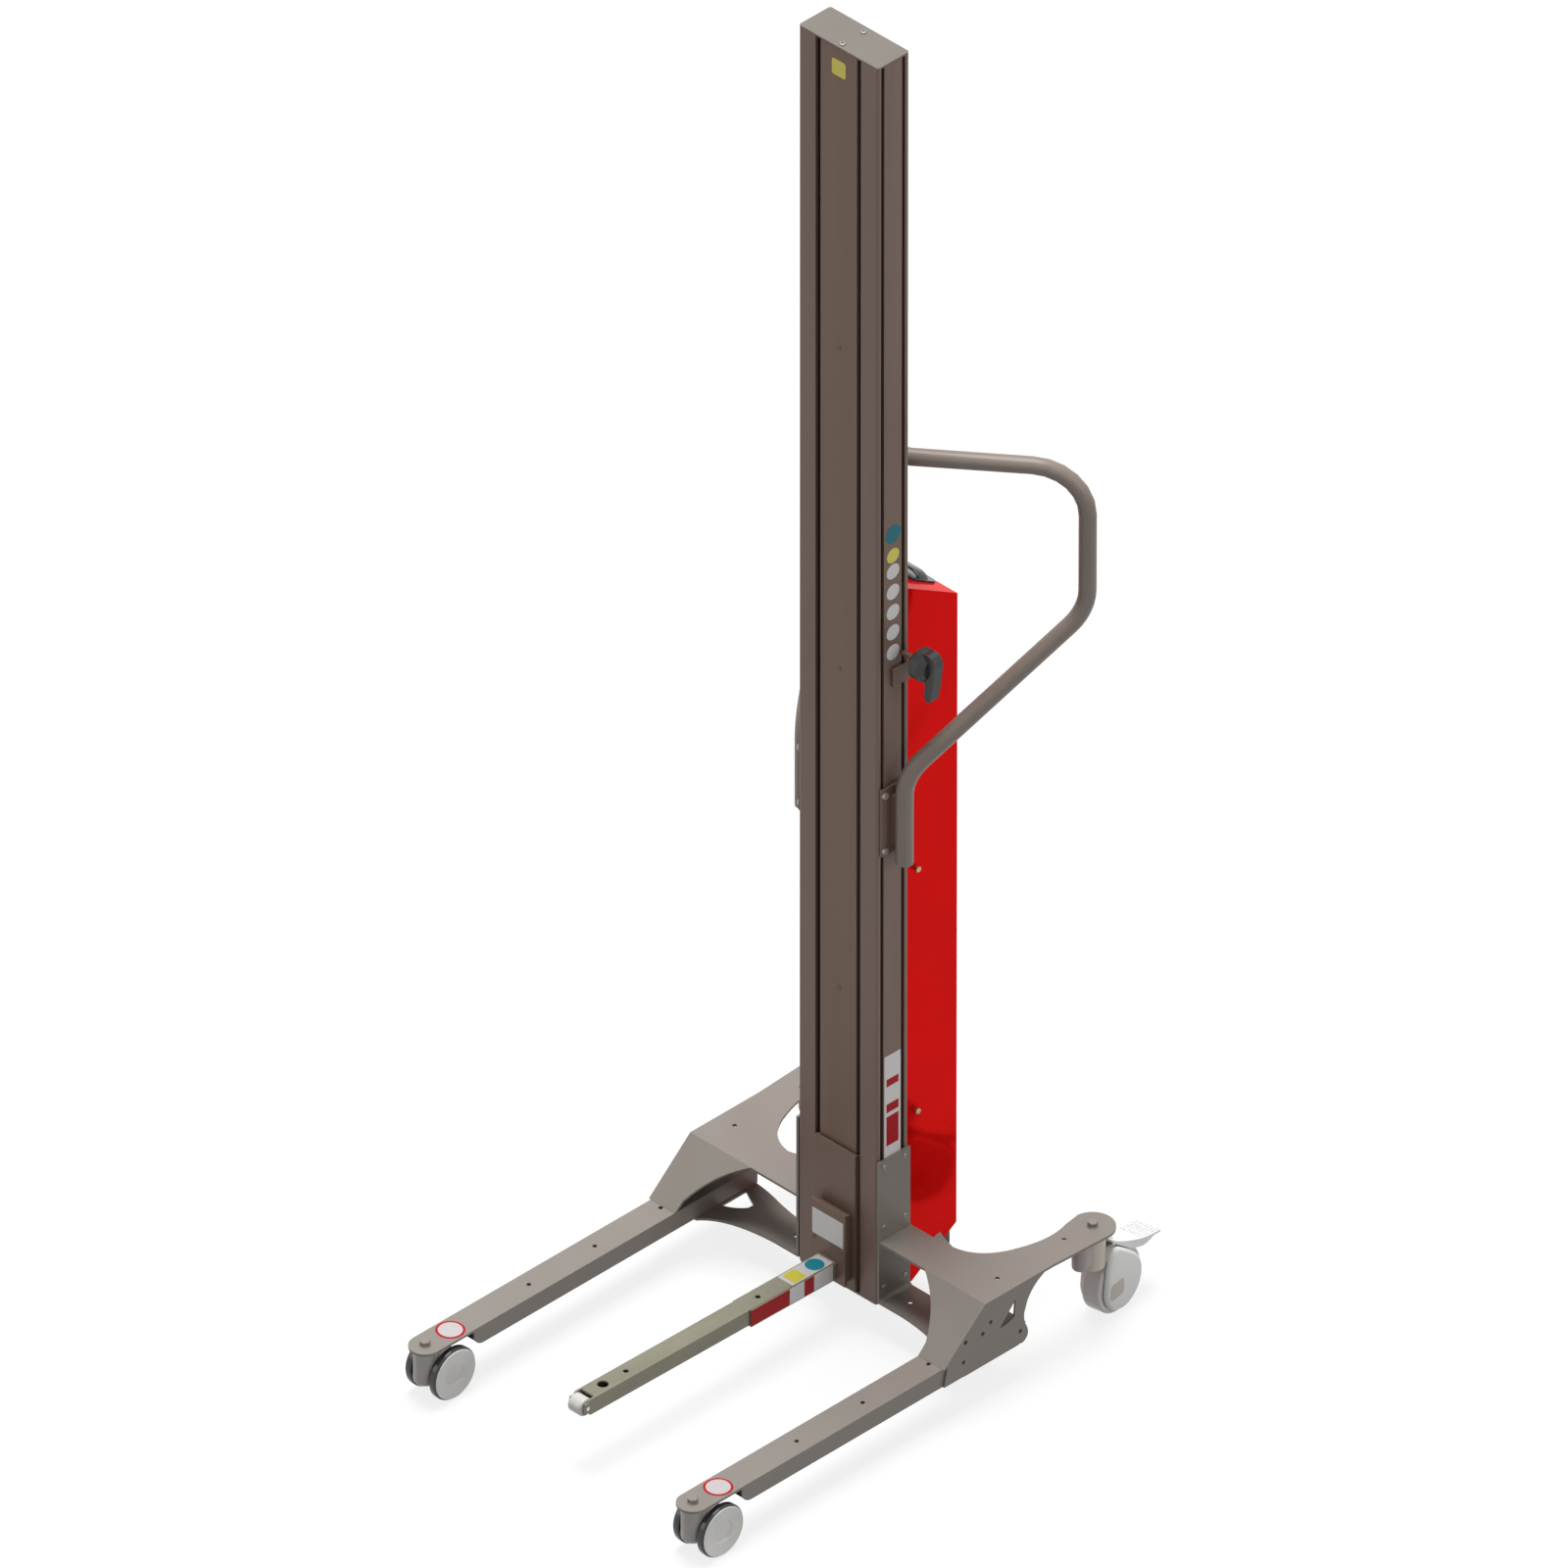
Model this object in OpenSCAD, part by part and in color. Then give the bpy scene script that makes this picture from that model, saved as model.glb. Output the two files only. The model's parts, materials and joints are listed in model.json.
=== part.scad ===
// Single-mast stacker: an electric lifting mast on two legs with a reel boom.
// Millimetres, +Z up, +X to the right seen from the front, the boom and legs point to -Y.
// Lengths along Y are first measured from the front face of the mast, then shifted so that
// the origin lies under the middle of the whole machine, on the floor.

/* [Mast] */
// Width of the mast profile
mast_w = 150; // [140:1:170]
// Depth of the mast profile
mast_d = 60; // [56:1:70]
// Height of the mast's lower end above the floor
mast_z = 55; // [45:1:60]
// Height of the top of the mast above the floor
mast_top = 2088; // [1900:1:2400]
// Corner radius of the mast profile
mast_r = 4; // [1:0.5:6]
// Wall thickness of the two guide chambers
mast_wall = 6; // [5:0.5:7]
// Thickness of the cap on the mast
cap_t = 3; // [2:0.5:6]
// Half the width of the fixed cover strip
strip_half = 34.5; // [33:0.5:36]
// Thickness of the cover strip
strip_t = 2; // [1:0.5:3]
// Width of each long slot beside the cover strip
slot_w = 8; // [6:0.5:9]

/* [Base] */
// Distance over the outer faces of both legs
base_w = 559; // [520:1:640]
// Width of a leg tube
leg_w = 46; // [40:1:60]
// Height of a leg tube
leg_h = 29; // [24:1:34]
// Wall thickness of a leg tube
leg_wall = 3; // [2:0.5:4]
// Underside of the legs above the floor
leg_z = 60.5; // [58:0.5:62]
// How far the leg tubes reach in front of the mast
leg_front = 462; // [400:1:700]
// Thickness of the bent plates of the base
plate_t = 4; // [3:0.5:6]
// Height of the upper face of the upper base plate
deck_z = 160; // [150:1:175]
// How far the sloping front of the upper plate runs forward
slope_run = 75; // [60:1:90]
// Thickness of the outer gusset
gusset_t = 3; // [2:0.5:4]

/* [Casters] */
// Diameter of a front wheel
front_wheel_d = 80; // [76:1:80]
// Width over both front wheels of one caster
front_pair_w = 60; // [56:1:64]
// Width of one front wheel
front_tyre_w = 13; // [10:0.5:15]
// Distance from the front swivel axis forward of the mast
front_swivel = 533; // [500:1:800]
// Trail of a front caster
front_trail = 29; // [24:1:32]
// Diameter of a rear wheel
rear_wheel_d = 100; // [94:1:100]
// Width of a rear wheel
rear_wheel_w = 30; // [24:1:34]
// Distance from the mast's front face back to the rear swivel axis
rear_swivel = 232; // [215:1:260]
// Trail of a rear caster
rear_trail = 44; // [38:1:46]
// Angle by which the rear casters stand turned inwards
rear_turn = 10; // [0:1:15]
// Length of a brake pedal behind the swivel axis
pedal_l = 132; // [124:1:145]

/* [Carriage and boom] */
// Height of the lower edge of the carriage above the floor
carriage_z = 58; // [56:1:66]
// Height of the carriage
carriage_h = 226; // [200:1:260]
// Half the width of the carriage's front plate
carriage_half = 38.5; // [38:0.5:40]
// Front plate thickness of the carriage
carriage_t = 4.5; // [3:0.5:5]
// Width of the boom tube
boom_w = 30; // [26:1:40]
// Height of the boom tube
boom_h = 25; // [22:1:34]
// Wall thickness of the boom tube
boom_wall = 3; // [2:0.5:4]
// How far the boom reaches in front of the mast
boom_reach = 499; // [420:1:600]
// Height of the boom's upper face where it leaves the carriage
boom_top = 104.3; // [100:0.1:112]
// How far the channel round the boom's root reaches in front of the mast
sleeve_reach = 182; // [120:1:240]
// Upward tilt of the boom in degrees
boom_tilt = 1; // [0:0.1:2]
// Diameter of the tip roller
tip_roller_d = 27; // [22:1:30]

/* [Handle] */
// Outer diameter of the handle tube
handle_d = 25; // [22:1:28]
// Wall thickness of the handle tube
handle_wall = 2; // [1.5:0.5:3]
// Half the distance between the two grips
grip_half = 227; // [200:1:260]
// Distance of the grips behind the mast's front face
grip_y = 248; // [210:1:280]
// Height at which the grips begin
grip_low = 1158; // [1100:1:1180]
// Height of the top of the handle
grip_top = 1388; // [1360:1:1450]
// Bend radius of the handle tube
handle_bend = 75; // [60:1:80]

/* [Drive housing] */
// Half the width of the red housing
cover_half = 66; // [60:1:72]
// Depth of the red housing behind the mast
cover_d = 102; // [95:1:120]
// Height of the top of the red housing at the mast
cover_top = 1206; // [1100:1:1300]
// Slope of the top of the red housing in degrees
cover_slope = 30; // [20:1:35]
// Sheet thickness of the red housing
cover_t = 2; // [1:0.5:3]

/* [Hidden] */
$fn = 48;

// Clearances between pieces
rest_gap = 0.3;
run_gap = 0.05;
seam = 0.02;

// Colours as seen in daylight
steel_c = [0.45, 0.40, 0.37];
alu_c = [0.42, 0.38, 0.36];
zinc_c = [0.62, 0.62, 0.55];
red_c = [0.75, 0.05, 0.05];
black_c = [0.12, 0.12, 0.13];
pale_c = [0.84, 0.84, 0.82];
tyre_c = [0.27, 0.26, 0.26];
bolt_c = [0.70, 0.69, 0.67];

// Derived places along X and Z
leg_x = base_w / 2 - leg_w / 2;
leg_top = leg_z + leg_h;
leg_in = base_w / 2 - leg_w;
leg_out = base_w / 2;
leg_back = 80;
tongue_t = plate_t;
tongue_r = leg_w / 2;
bracket_x = mast_w / 2 + rest_gap;
bracket_out = bracket_x + plate_t;
bracket_top = 290;
gusset_x = leg_out + rest_gap;
gusset_out = gusset_x + gusset_t;
slot_in = strip_half + rest_gap;
spine_out = 22;
spine_in = spine_out - 3;
chamber_out = mast_w / 2 - 14;
chamber_y0 = mast_wall;
chamber_y1 = mast_d - mast_wall;
chamber_mid = (chamber_y0 + chamber_y1) / 2;
side_slot_y = [9.4, mast_d - 11];
side_slot_w = 6;
cover_y0 = mast_d + rest_gap;
cover_y1 = mast_d + cover_d;
// The slanting underside of the housing
cover_bottom = 50;
cover_corner = 105.6;
cover_bottom_y = 76.5;

pedal_w = 42;

// The wheels and pedals reach furthest back, the front casters furthest forward
front_reach = front_swivel + tongue_r;
rear_reach = rear_swivel + pedal_l * cos(rear_turn) + pedal_w / 2 * sin(rear_turn);
mast_front = (front_reach - rear_reach) / 2;

// Handle tube
handle_r = handle_d / 2;
handle_x = bracket_out + 4.2 + handle_r;
handle_y = mast_d / 2 + 1;
handle_knee = 926;
handle_foot = 143;
handle_end = handle_knee - handle_foot;
cross_y = mast_d + 33;
cross_half = 29;
handle_path = [[handle_x, handle_y, handle_end], [handle_x, handle_y, handle_knee],
               [grip_half, grip_y, grip_low], [grip_half, grip_y, grip_top],
               [cross_half, cross_y, grip_top]];

// Lift
pulley_r = 18;
belt_t = 2.5;
belt_w = 10;
belt_x = spine_out + 2;
drive_z = mast_z + 50;
idler_z = mast_top - 38;
shaft_r = 8;
idler_r = 6;
web_x = slot_in + 0.7;
web_t = 3;
web_out = web_x + web_t;
web_back = chamber_y1 - 6;
guide_r = (chamber_y1 - chamber_y0) / 2 - rest_gap;
guide_w = 17;
guide_x = web_out + 2;
guide_pin_r = 8;
guide_low = carriage_z + 42;
guide_high = carriage_z + carriage_h - 44;
plate_gap = 0.5;

// Boom
sleeve_t = 2;
boom_root = -22;
tip_y = -(boom_reach - 7);
tip_pin_r = 3;
bracket_front = -19;
bracket_t = 4;
plate_front = -plate_gap - carriage_t - seam;
boom_bracket_half = 33;
boom_bracket_low = carriage_z + 12;
boom_bracket_high = carriage_z + 130;
bracket_screw_places = [for (x = [-1, 1]) for (z = [61, 21])
    [x * (boom_bracket_half - 5.4), boom_bracket_high - z]];

// Casters
front_y = -front_swivel;
front_axle_r = 5;
front_body_half = front_pair_w / 2 - front_tyre_w - rest_gap;
swivel_bolt_r = 6;
rear_axle_r = 6;

module place() translate([0, mast_front, 0]) children();

// Points along an arc, used for the cut edges of plates
function arc(cx, cy, r, a0, a1, n = 10) =
    [for (i = [0:n]) [cx + r * cos(a0 + (a1 - a0) * i / n), cy + r * sin(a0 + (a1 - a0) * i / n)]];

// Points of a smooth edge through three places
function curve(p, c, q, n = 10) =
    [for (i = [0:n]) let (t = i / n) (1 - t) * (1 - t) * p + 2 * t * (1 - t) * c + t * t * q];

module side(s) {
    if (s < 0) mirror([1, 0, 0]) children();
    else children();
}

// Flat shape in the YZ plane, thick along +X from x
module yz_plate(x, t) translate([x, 0, 0]) rotate([90, 0, 90]) linear_extrude(t) children();

module rod_x(x0, x1, y, z, r) translate([x0, y, z]) rotate([0, 90, 0]) cylinder(h = x1 - x0, r = r);

module rod_y(x, y0, y1, z, r) translate([x, y0, z]) rotate([-90, 0, 0]) cylinder(h = y1 - y0, r = r);

module rod_z(x, y, z0, z1, r) translate([x, y, z0]) cylinder(h = z1 - z0, r = r);

module block(x0, x1, y0, y1, z0, z1) translate([x0, y0, z0]) cube([x1 - x0, y1 - y0, z1 - z0]);

module round_rect(w, d, r) {
    translate([-w / 2 + r, 0]) square([w - 2 * r, d]);
    translate([-w / 2, r]) square([w, d - 2 * r]);
    for (x = [-w / 2 + r, w / 2 - r]) {
        for (y = [r, d - r]) {
            translate([x, y]) circle(r);
        }
    }
}

// Mast

module mast_section() {
    difference() {
        round_rect(mast_w, mast_d, mast_r);
        // recess for the cover strip
        translate([-strip_half - rest_gap, -1]) square([2 * (strip_half + rest_gap), strip_t + 2]);
        // hollow of the middle rib, which holds the screws and the gearbox
        translate([-spine_in, chamber_y0]) square([2 * spine_in, chamber_y1 - chamber_y0]);
        for (s = [-1, 1]) {
            mirror([s < 0 ? 1 : 0, 0]) {
                translate([spine_out, chamber_y0])
                    square([chamber_out - spine_out, chamber_y1 - chamber_y0]);
                translate([slot_in, -1]) square([slot_w, mast_wall + 2]);
                for (y = side_slot_y) {
                    translate([mast_w / 2 - 4, y - side_slot_w / 2]) square([5, side_slot_w]);
                    translate([mast_w / 2 - 9, y - 6]) square([6, 12]);
                }
                translate([mast_w / 2 - 10, 23]) square([6, 12]);
                translate([mast_w / 2 - 32, mast_d - 2.5]) square([6, 3]);
            }
        }
    }
}

module mast_profile() color(alu_c) place() difference() {
    translate([0, 0, mast_z]) linear_extrude(mast_top - cap_t - mast_z) mast_section();
    rod_x(-spine_out - 1, spine_out + 1, chamber_mid, drive_z, shaft_r + run_gap);
    rod_x(-spine_out - 1, spine_out + 1, chamber_mid, idler_z, idler_r + run_gap);
    block(-spine_in, spine_in, chamber_y1 - 1, mast_d + 1, drive_z - 30, drive_z + 32);
}

module mast_cap() color(steel_c) place() difference() {
    translate([0, 0, mast_top - cap_t + seam]) linear_extrude(cap_t - seam)
        round_rect(mast_w, mast_d, mast_r);
    for (y = cap_screw_y) rod_z(0, y, mast_top - cap_t - 1, mast_top + 1, 2.6);
}

cap_screw_y = [8, mast_d - 12];
strip_screw_z = [for (i = [0:2]) 544 + 527 * i];

module mast_cover_strip() color(alu_c) place() difference() {
    block(-strip_half, strip_half, 1, 1 + strip_t - seam, mast_z + 1, mast_top - cap_t - 1);
    for (z = strip_screw_z) rod_y(0, -1, 1 + strip_t + 1, z, 2.6);
}

// Countersunk strip screws and the two cap screws
module mast_screws() color(bolt_c) place() {
    for (z = strip_screw_z) {
        rod_y(0, 0.4, 1 - seam, z, 4.5);
        rod_y(0, 0.4, 1 + strip_t - 2 * seam, z, 2.5);
    }
    for (y = cap_screw_y) {
        rod_z(0, y, mast_top + seam, mast_top + 2.2, 4.5);
        rod_z(0, y, mast_top - cap_t + 2 * seam, mast_top + 2.2, 2.5);
    }
}

module mast_foot_plate() color(steel_c) place() difference() {
    translate([0, 0, mast_z - 3]) linear_extrude(3 - seam) round_rect(mast_w - 2, mast_d - 2, mast_r);
    for (s = [-1, 1]) rod_z(s * (mast_w / 2 - 7), mast_d / 2, mast_z - 4, mast_z + 1, 3);
}

// Base

lower_back = 79;

// Lower edge plate seen from above, on the right side
module lower_outline() {
    y_in = mast_d;
    polygon(concat(
        [[bracket_x, 0], [bracket_out + 43, 0]],
        curve([bracket_out + 43, 0], [leg_in - 26, -4], [leg_in, -38]),
        [[leg_out, -38]],
        arc(leg_out - 14, lower_back - 14, 14, 0, 90, 6),
        curve([leg_in + 10, lower_back], [leg_in - 24, lower_back - 2], [leg_in - 54, y_in + 8]),
        curve([leg_in - 54, y_in + 8], [leg_in - 80, y_in + 2], [leg_in - 98, y_in]),
        [[bracket_x, y_in]]));
}

module side_bracket(s) color(steel_c) place() side(s) difference() {
    union() {
        block(bracket_x, bracket_out, 0, mast_d, leg_z - plate_t, bracket_top);
        translate([0, 0, leg_z - plate_t]) linear_extrude(plate_t - seam) lower_outline();
        // inner bend radius
        difference() {
            block(bracket_x, bracket_out + 6, 0, mast_d, leg_z - seam, leg_z + 6);
            rod_y(bracket_out + 6, -1, mast_d + 1, leg_z + 6, 6);
        }
    }
    for (p = bracket_bolt_places) rod_x(bracket_x - 1, bracket_out + 1, p[0], p[1], 3.3);
    // lightening hole beside the leg
    translate([0, 0, leg_z - plate_t - 1]) linear_extrude(plate_t + 2)
        polygon(concat(curve([leg_in - 2, 8], [leg_in - 22, 14], [leg_in - 33, 30]),
                       curve([leg_in - 33, 40], [leg_in - 20, 46], [leg_in - 2, 56])));
    for (y = [-20, 20, lower_back - 15]) rod_z(leg_x, y, leg_z - plate_t - 1, leg_z + 1, 3.3);
    rod_z(bracket_out + 30, mast_d / 2, leg_z - plate_t - 1, leg_z + 1, 4);
}

bracket_bolt_z = [for (i = [0:2]) leg_z + 21.5 + 99 * i];
bracket_bolt_places = [for (y = side_slot_y) for (z = bracket_bolt_z) [y, z]];

// Upper plate seen from above, with the round eye of the rear caster
module deck_outline() {
    polygon(concat(
        [[bracket_out + rest_gap, 0], [gusset_out, 0], [gusset_out, 130],
         [leg_x + eye_r - 0.4, rear_swivel - 4]],
        arc(leg_x, rear_swivel, eye_r, 0, 176, 16),
        [[leg_in - 8, rear_swivel - 2]],
        curve([leg_in - 5, rear_swivel - 24], [leg_in + 7, 168], [leg_in - 14, 118]),
        curve([leg_in - 14, 117], [leg_in - 34, 68], [leg_in - 76, mast_d + 3]),
        [[136, mast_d + 9], [120.5, mast_d + 16], [123, mast_d]],
        [[bracket_out + rest_gap, mast_d]]));
}

eye_r = 32;
slope_low = leg_top + rest_gap;
slope_angle = atan2(deck_z - plate_t - slope_low, slope_run);

// Inner edge of the sloping front in the plane of the sheet, from the bend down
function slope_edge(l) = concat(curve([166, 0], [leg_in - 20, l * 0.3], [leg_in - 1, l * 0.78]),
                                [[leg_in, l]]);

// Height of the middle of the sloping sheet at the given distance in front of the bend
function in_slope(y) = deck_z - plate_t / 2 / cos(slope_angle) - y * tan(slope_angle);

module gusset_outline() {
    b = leg_z;
    inside = deck_z - plate_t / 2;
    front = slope_run - 3;
    difference() {
        polygon(concat(
            [[-front, in_slope(front)], [-slope_run - 4, b]],
            [[mast_d + 8, b]],
            arc(mast_d + 8, b + 13, 14, -80, 10, 6),
            curve([mast_d + 20, b + 22], [mast_d + 10, b + 40], [mast_d + 17, b + 54]),
            curve([mast_d + 18, b + 58], [mast_d + 26, b + 84], [mast_d + 58, inside]),
            [[6, inside], [-3, in_slope(3)]]));
        // the pointed window and the row of small holes
        polygon(concat([[mast_d - 2, b + 78]],
                       curve([mast_d - 4, b + 51], [mast_d - 14, b + 44], [mast_d - 33, b + 45])));
        for (p = [[-38, b + 54.5], [-5, b + 52.5], [10, b + 64.5], [67, b + 20.5], [-42, b + 23.5]])
            translate(p) circle(3.3);
    }
}

module top_plate(s) color(steel_c) place() side(s) {
    sheet = (deck_z - slope_low) / sin(slope_angle) + plate_t;
    difference() {
        translate([0, 0, deck_z - plate_t]) linear_extrude(plate_t) deck_outline();
        rod_z(leg_x, rear_swivel, deck_z - plate_t - 1, deck_z + 1, swivel_bolt_r + 0.3);
        for (y = [54, 182]) rod_z(leg_x - 5, y, deck_z - plate_t - 1, deck_z + 1, 3.3);
    }
    // the front, bent down and cut level on the leg
    difference() {
        translate([0, 0, deck_z - 2 * seam]) rotate([slope_angle, 0, 0]) mirror([0, 1, 0])
            translate([0, 0, -plate_t]) linear_extrude(plate_t)
                polygon(concat([[gusset_out - 2 * seam, 0]], slope_edge(sheet),
                               [[gusset_out - 2 * seam, sheet]]));
        block(leg_in - 100, gusset_out + 10, -slope_run - 60, 0, slope_low - 60, slope_low);
    }
    yz_plate(gusset_x, gusset_t - seam) gusset_outline();
}

leg_hole_y = [for (i = [0:2]) -83 - 126 * i];

module leg(s) color(steel_c) place() side(s) difference() {
    union() {
        block(leg_in, leg_out, -leg_front, leg_back, leg_z, leg_top);
        block(leg_in, leg_out, front_y, -leg_front + 1, leg_top - tongue_t, leg_top);
        rod_z(leg_x, front_y, leg_top - tongue_t, leg_top, tongue_r);
    }
    difference() {
        block(leg_in + leg_wall, leg_out - leg_wall, -leg_front - 1, leg_back + 1,
              leg_z + leg_wall, leg_top - leg_wall);
        block(leg_in, leg_out, -leg_front - 40, -leg_front, leg_top - tongue_t, leg_top);
    }
    // the lower front corner is cut round
    difference() {
        block(leg_in - 1, leg_out + 1, -leg_front - 1, -leg_front + 18, leg_z - 1, leg_z + 18);
        rod_x(leg_in - 2, leg_out + 2, -leg_front + 18, leg_z + 18, 18);
    }
    rod_z(leg_x, front_y, leg_top - tongue_t - 1, leg_top + 1, swivel_bolt_r + 0.3);
    for (y = leg_hole_y) rod_z(leg_x, y, leg_top - leg_wall - 1, leg_top + 1, 3.3);
}

// Six bolts with washers fasten each side bracket in the grooves of the mast
module bracket_bolts() color(bolt_c) place() for (s = [-1, 1]) side(s) for (p = bracket_bolt_places) {
    rod_x(bracket_out + seam, bracket_out + 1.5, p[0], p[1], 6);
    rod_x(bracket_out + 1.5, bracket_out + 5, p[0], p[1], 4.8);
    rod_x(mast_w / 2 - 3.5, bracket_out + 2, p[0], p[1], 2.6);
}

module hex(x, y, z0, z1, across) translate([x, y, z0])
    cylinder(h = z1 - z0, d = across * 2 / sqrt(3), $fn = 6);

front_head_top = leg_top - tongue_t - rest_gap;
front_bolt_low = front_head_top - 26;
rear_bolt_low = deck_z - plate_t - 30;

// The kingpins on which the casters turn
module caster_bolts() color(bolt_c) place() for (s = [-1, 1]) side(s) {
    rod_z(leg_x, front_y, leg_top + seam, leg_top + 1.5, 10);
    hex(leg_x, front_y, leg_top + 1.5, leg_top + 8, 16);
    rod_z(leg_x, front_y, front_bolt_low, leg_top + 2, swivel_bolt_r);
    rod_z(leg_x, rear_swivel, deck_z + seam, deck_z + 1.5, 11);
    hex(leg_x, rear_swivel, deck_z + 1.5, deck_z + 9, 18);
    rod_z(leg_x, rear_swivel, rear_bolt_low, deck_z + 2, swivel_bolt_r);
}

// Front casters

front_axle_z = front_wheel_d / 2;
front_axle_y = front_y + front_trail;

module front_caster_body(s) color(steel_c) place() side(s) difference() {
    union() {
        yz_plate(leg_x - front_body_half, 2 * front_body_half) {
            translate([front_axle_y, front_axle_z]) circle(front_wheel_d * 0.36);
            polygon([[front_y - 16, front_head_top - 22], [front_y - 16, front_head_top - 5],
                     [front_y + 16, front_head_top - 5], [front_axle_y + 12, front_axle_z + 25],
                     [front_axle_y - 16, front_axle_z - 18]]);
        }
        rod_z(leg_x, front_y, front_head_top - 24, front_head_top, front_body_half);
    }
    rod_z(leg_x, front_y, front_bolt_low - 1, front_head_top + 1, swivel_bolt_r + run_gap);
    rod_x(leg_x - 40, leg_x + 40, front_axle_y, front_axle_z, front_axle_r + run_gap);
}

rim_r = front_wheel_d / 2 - 4;

module front_wheel_hubs(s) color(pale_c) place() side(s) {
    for (m = [-1, 1]) {
        x0 = m > 0 ? front_pair_w / 2 - front_tyre_w : -front_pair_w / 2 + 1.5;
        difference() {
            union() {
                rod_x(leg_x + x0, leg_x + x0 + front_tyre_w - 1.5, front_axle_y, front_axle_z, rim_r - 3);
                translate([leg_x + m * (front_pair_w / 2 - 1.5), front_axle_y, front_axle_z])
                    rotate([0, m * 90, 0]) cylinder(h = 1.5, r1 = rim_r, r2 = rim_r - 2);
            }
            // dished middle of the wheel cover
            translate([leg_x + m * (front_pair_w / 2 + 0.5), front_axle_y, front_axle_z])
                rotate([0, -m * 90, 0]) cylinder(h = 6, r1 = 18.5, r2 = 14);
        }
    }
    rod_x(leg_x - front_pair_w / 2 + 4, leg_x + front_pair_w / 2 - 4,
          front_axle_y, front_axle_z, front_axle_r);
}

module front_tyres(s) color(tyre_c) place() side(s) for (m = [-1, 1]) {
    translate([leg_x + m * (front_pair_w / 2 - front_tyre_w / 2 - 0.75), front_axle_y, front_axle_z])
        rotate([0, 90, 0]) rotate_extrude()
            tyre_section(front_wheel_d / 2, rim_r - 3 + seam, front_tyre_w - 1.6, 3);
}

// Half section of a tyre, with rounded shoulders
module tyre_section(r_out, r_in, w, r) {
    difference() {
        translate([r_in, -w / 2]) square([r_out - r_in, w]);
        for (m = [-1, 1]) {
            difference() {
                translate([r_out - r, m > 0 ? w / 2 - r : -w / 2]) square([r + 1, r]);
                translate([r_out - r, m * (w / 2 - r)]) circle(r);
            }
        }
    }
}

// Rear casters

rear_axle_z = rear_wheel_d / 2;
rear_head_top = deck_z - plate_t - rest_gap;
rear_half = rear_wheel_w / 2 + 2;
rear_cheek = 4;
rear_shell_r = 42;
rear_dome = 3;

// Pieces of a rear caster are drawn about its swivel axis, with the trail along +Y
module at_rear(s) side(s) translate([leg_x, rear_swivel, 0]) rotate([0, 0, rear_turn]) children();

module rear_caster_body(s) color(pale_c) place() at_rear(s) {
    out = rear_half + rear_cheek;
    difference() {
        union() {
            rod_z(0, 0, rear_axle_z + 44, rear_head_top, 18.3);
            // housing of the brake in front of the boss
            intersection() {
                rod_z(0, -8, rear_axle_z + 40, rear_axle_z + 92, 26);
                yz_plate(-out, 2 * out) polygon(concat(
                    [[20, rear_axle_z + 40], [20, rear_axle_z + 84]],
                    arc(-20, rear_axle_z + 74, 12, 90, 180, 6),
                    [[-32, rear_axle_z + 40]]));
            }
            yz_plate(-out, 2 * out) {
                translate([rear_trail, rear_axle_z]) circle(rear_shell_r, $fn = 72);
                polygon(concat(
                    [[pedal_axis_y - 8, pedal_axis_z + 5], [pedal_axis_y, pedal_axis_z + 9],
                     [pedal_axis_y + 9, pedal_axis_z], [rear_trail + 16, rear_axle_z + 37],
                     [rear_trail - 37, rear_axle_z + 16]],
                    curve([2, rear_axle_z + 34], [-14, rear_axle_z + 48], [-16, rear_axle_z + 66]),
                    [[-14, rear_axle_z + 74], [10, rear_axle_z + 76]]));
                translate([pedal_axis_y, pedal_axis_z]) circle(10);
            }
            // domed side shells
            for (m = [-1, 1]) {
                translate([m * (out - 1), rear_trail, rear_axle_z]) rotate([0, m * 90, 0])
                    cylinder(h = rear_dome + 1, r1 = rear_shell_r - 1, r2 = rear_shell_r - 11);
            }
        }
        // room for the wheel
        yz_plate(-rear_half, 2 * rear_half) {
            translate([rear_trail, rear_axle_z]) circle(rear_wheel_d / 2 + 3, $fn = 72);
        }
        rod_z(0, 0, rear_bolt_low - 1, rear_head_top + 1, swivel_bolt_r + run_gap);
        rod_x(-40, 40, rear_trail, rear_axle_z, rear_axle_r + run_gap);
        // slot in which the pedal's arm swings
        yz_plate(-pedal_half - rest_gap, 2 * (pedal_half + rest_gap)) polygon([
            [pedal_axis_y - 11, pedal_axis_z + 30], [pedal_axis_y - 11, pedal_axis_z - 11],
            [pedal_axis_y + 16, pedal_axis_z - 17], [pedal_axis_y + 66, pedal_axis_z - 54],
            [pedal_axis_y + 66, pedal_axis_z + 30]]);
    }
    rod_x(-pedal_half - 1, pedal_half + 1, pedal_axis_y, pedal_axis_z, pedal_pin_r);
}

module rear_wheel(s) color(pale_c) place() at_rear(s) translate([0, rear_trail, rear_axle_z])
    rotate([0, 90, 0]) difference() {
        rotate_extrude($fn = 72) union() {
            difference() {
                tyre_section(rear_wheel_d / 2, 16, rear_wheel_w, 4);
                for (m = [-1, 1]) {
                    translate([20, m > 0 ? rear_wheel_w / 2 - 6 : -rear_wheel_w / 2 - 1]) square([18, 7]);
                }
            }
            translate([0, -rear_wheel_w / 2 - 1]) square([18, rear_wheel_w + 2]);
        }
        translate([0, 0, -40]) cylinder(h = 80, r = rear_axle_r + run_gap);
    }

module rear_axle(s) color(bolt_c) place() at_rear(s) {
    x1 = rear_half + rear_cheek + rear_dome;
    rod_x(-x1, x1, rear_trail, rear_axle_z, rear_axle_r);
    for (m = [-1, 1]) translate([m * (x1 + seam), rear_trail, rear_axle_z]) rotate([0, m * 90, 0])
        cylinder(h = 4, d = 16, $fn = 6);
}

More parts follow.
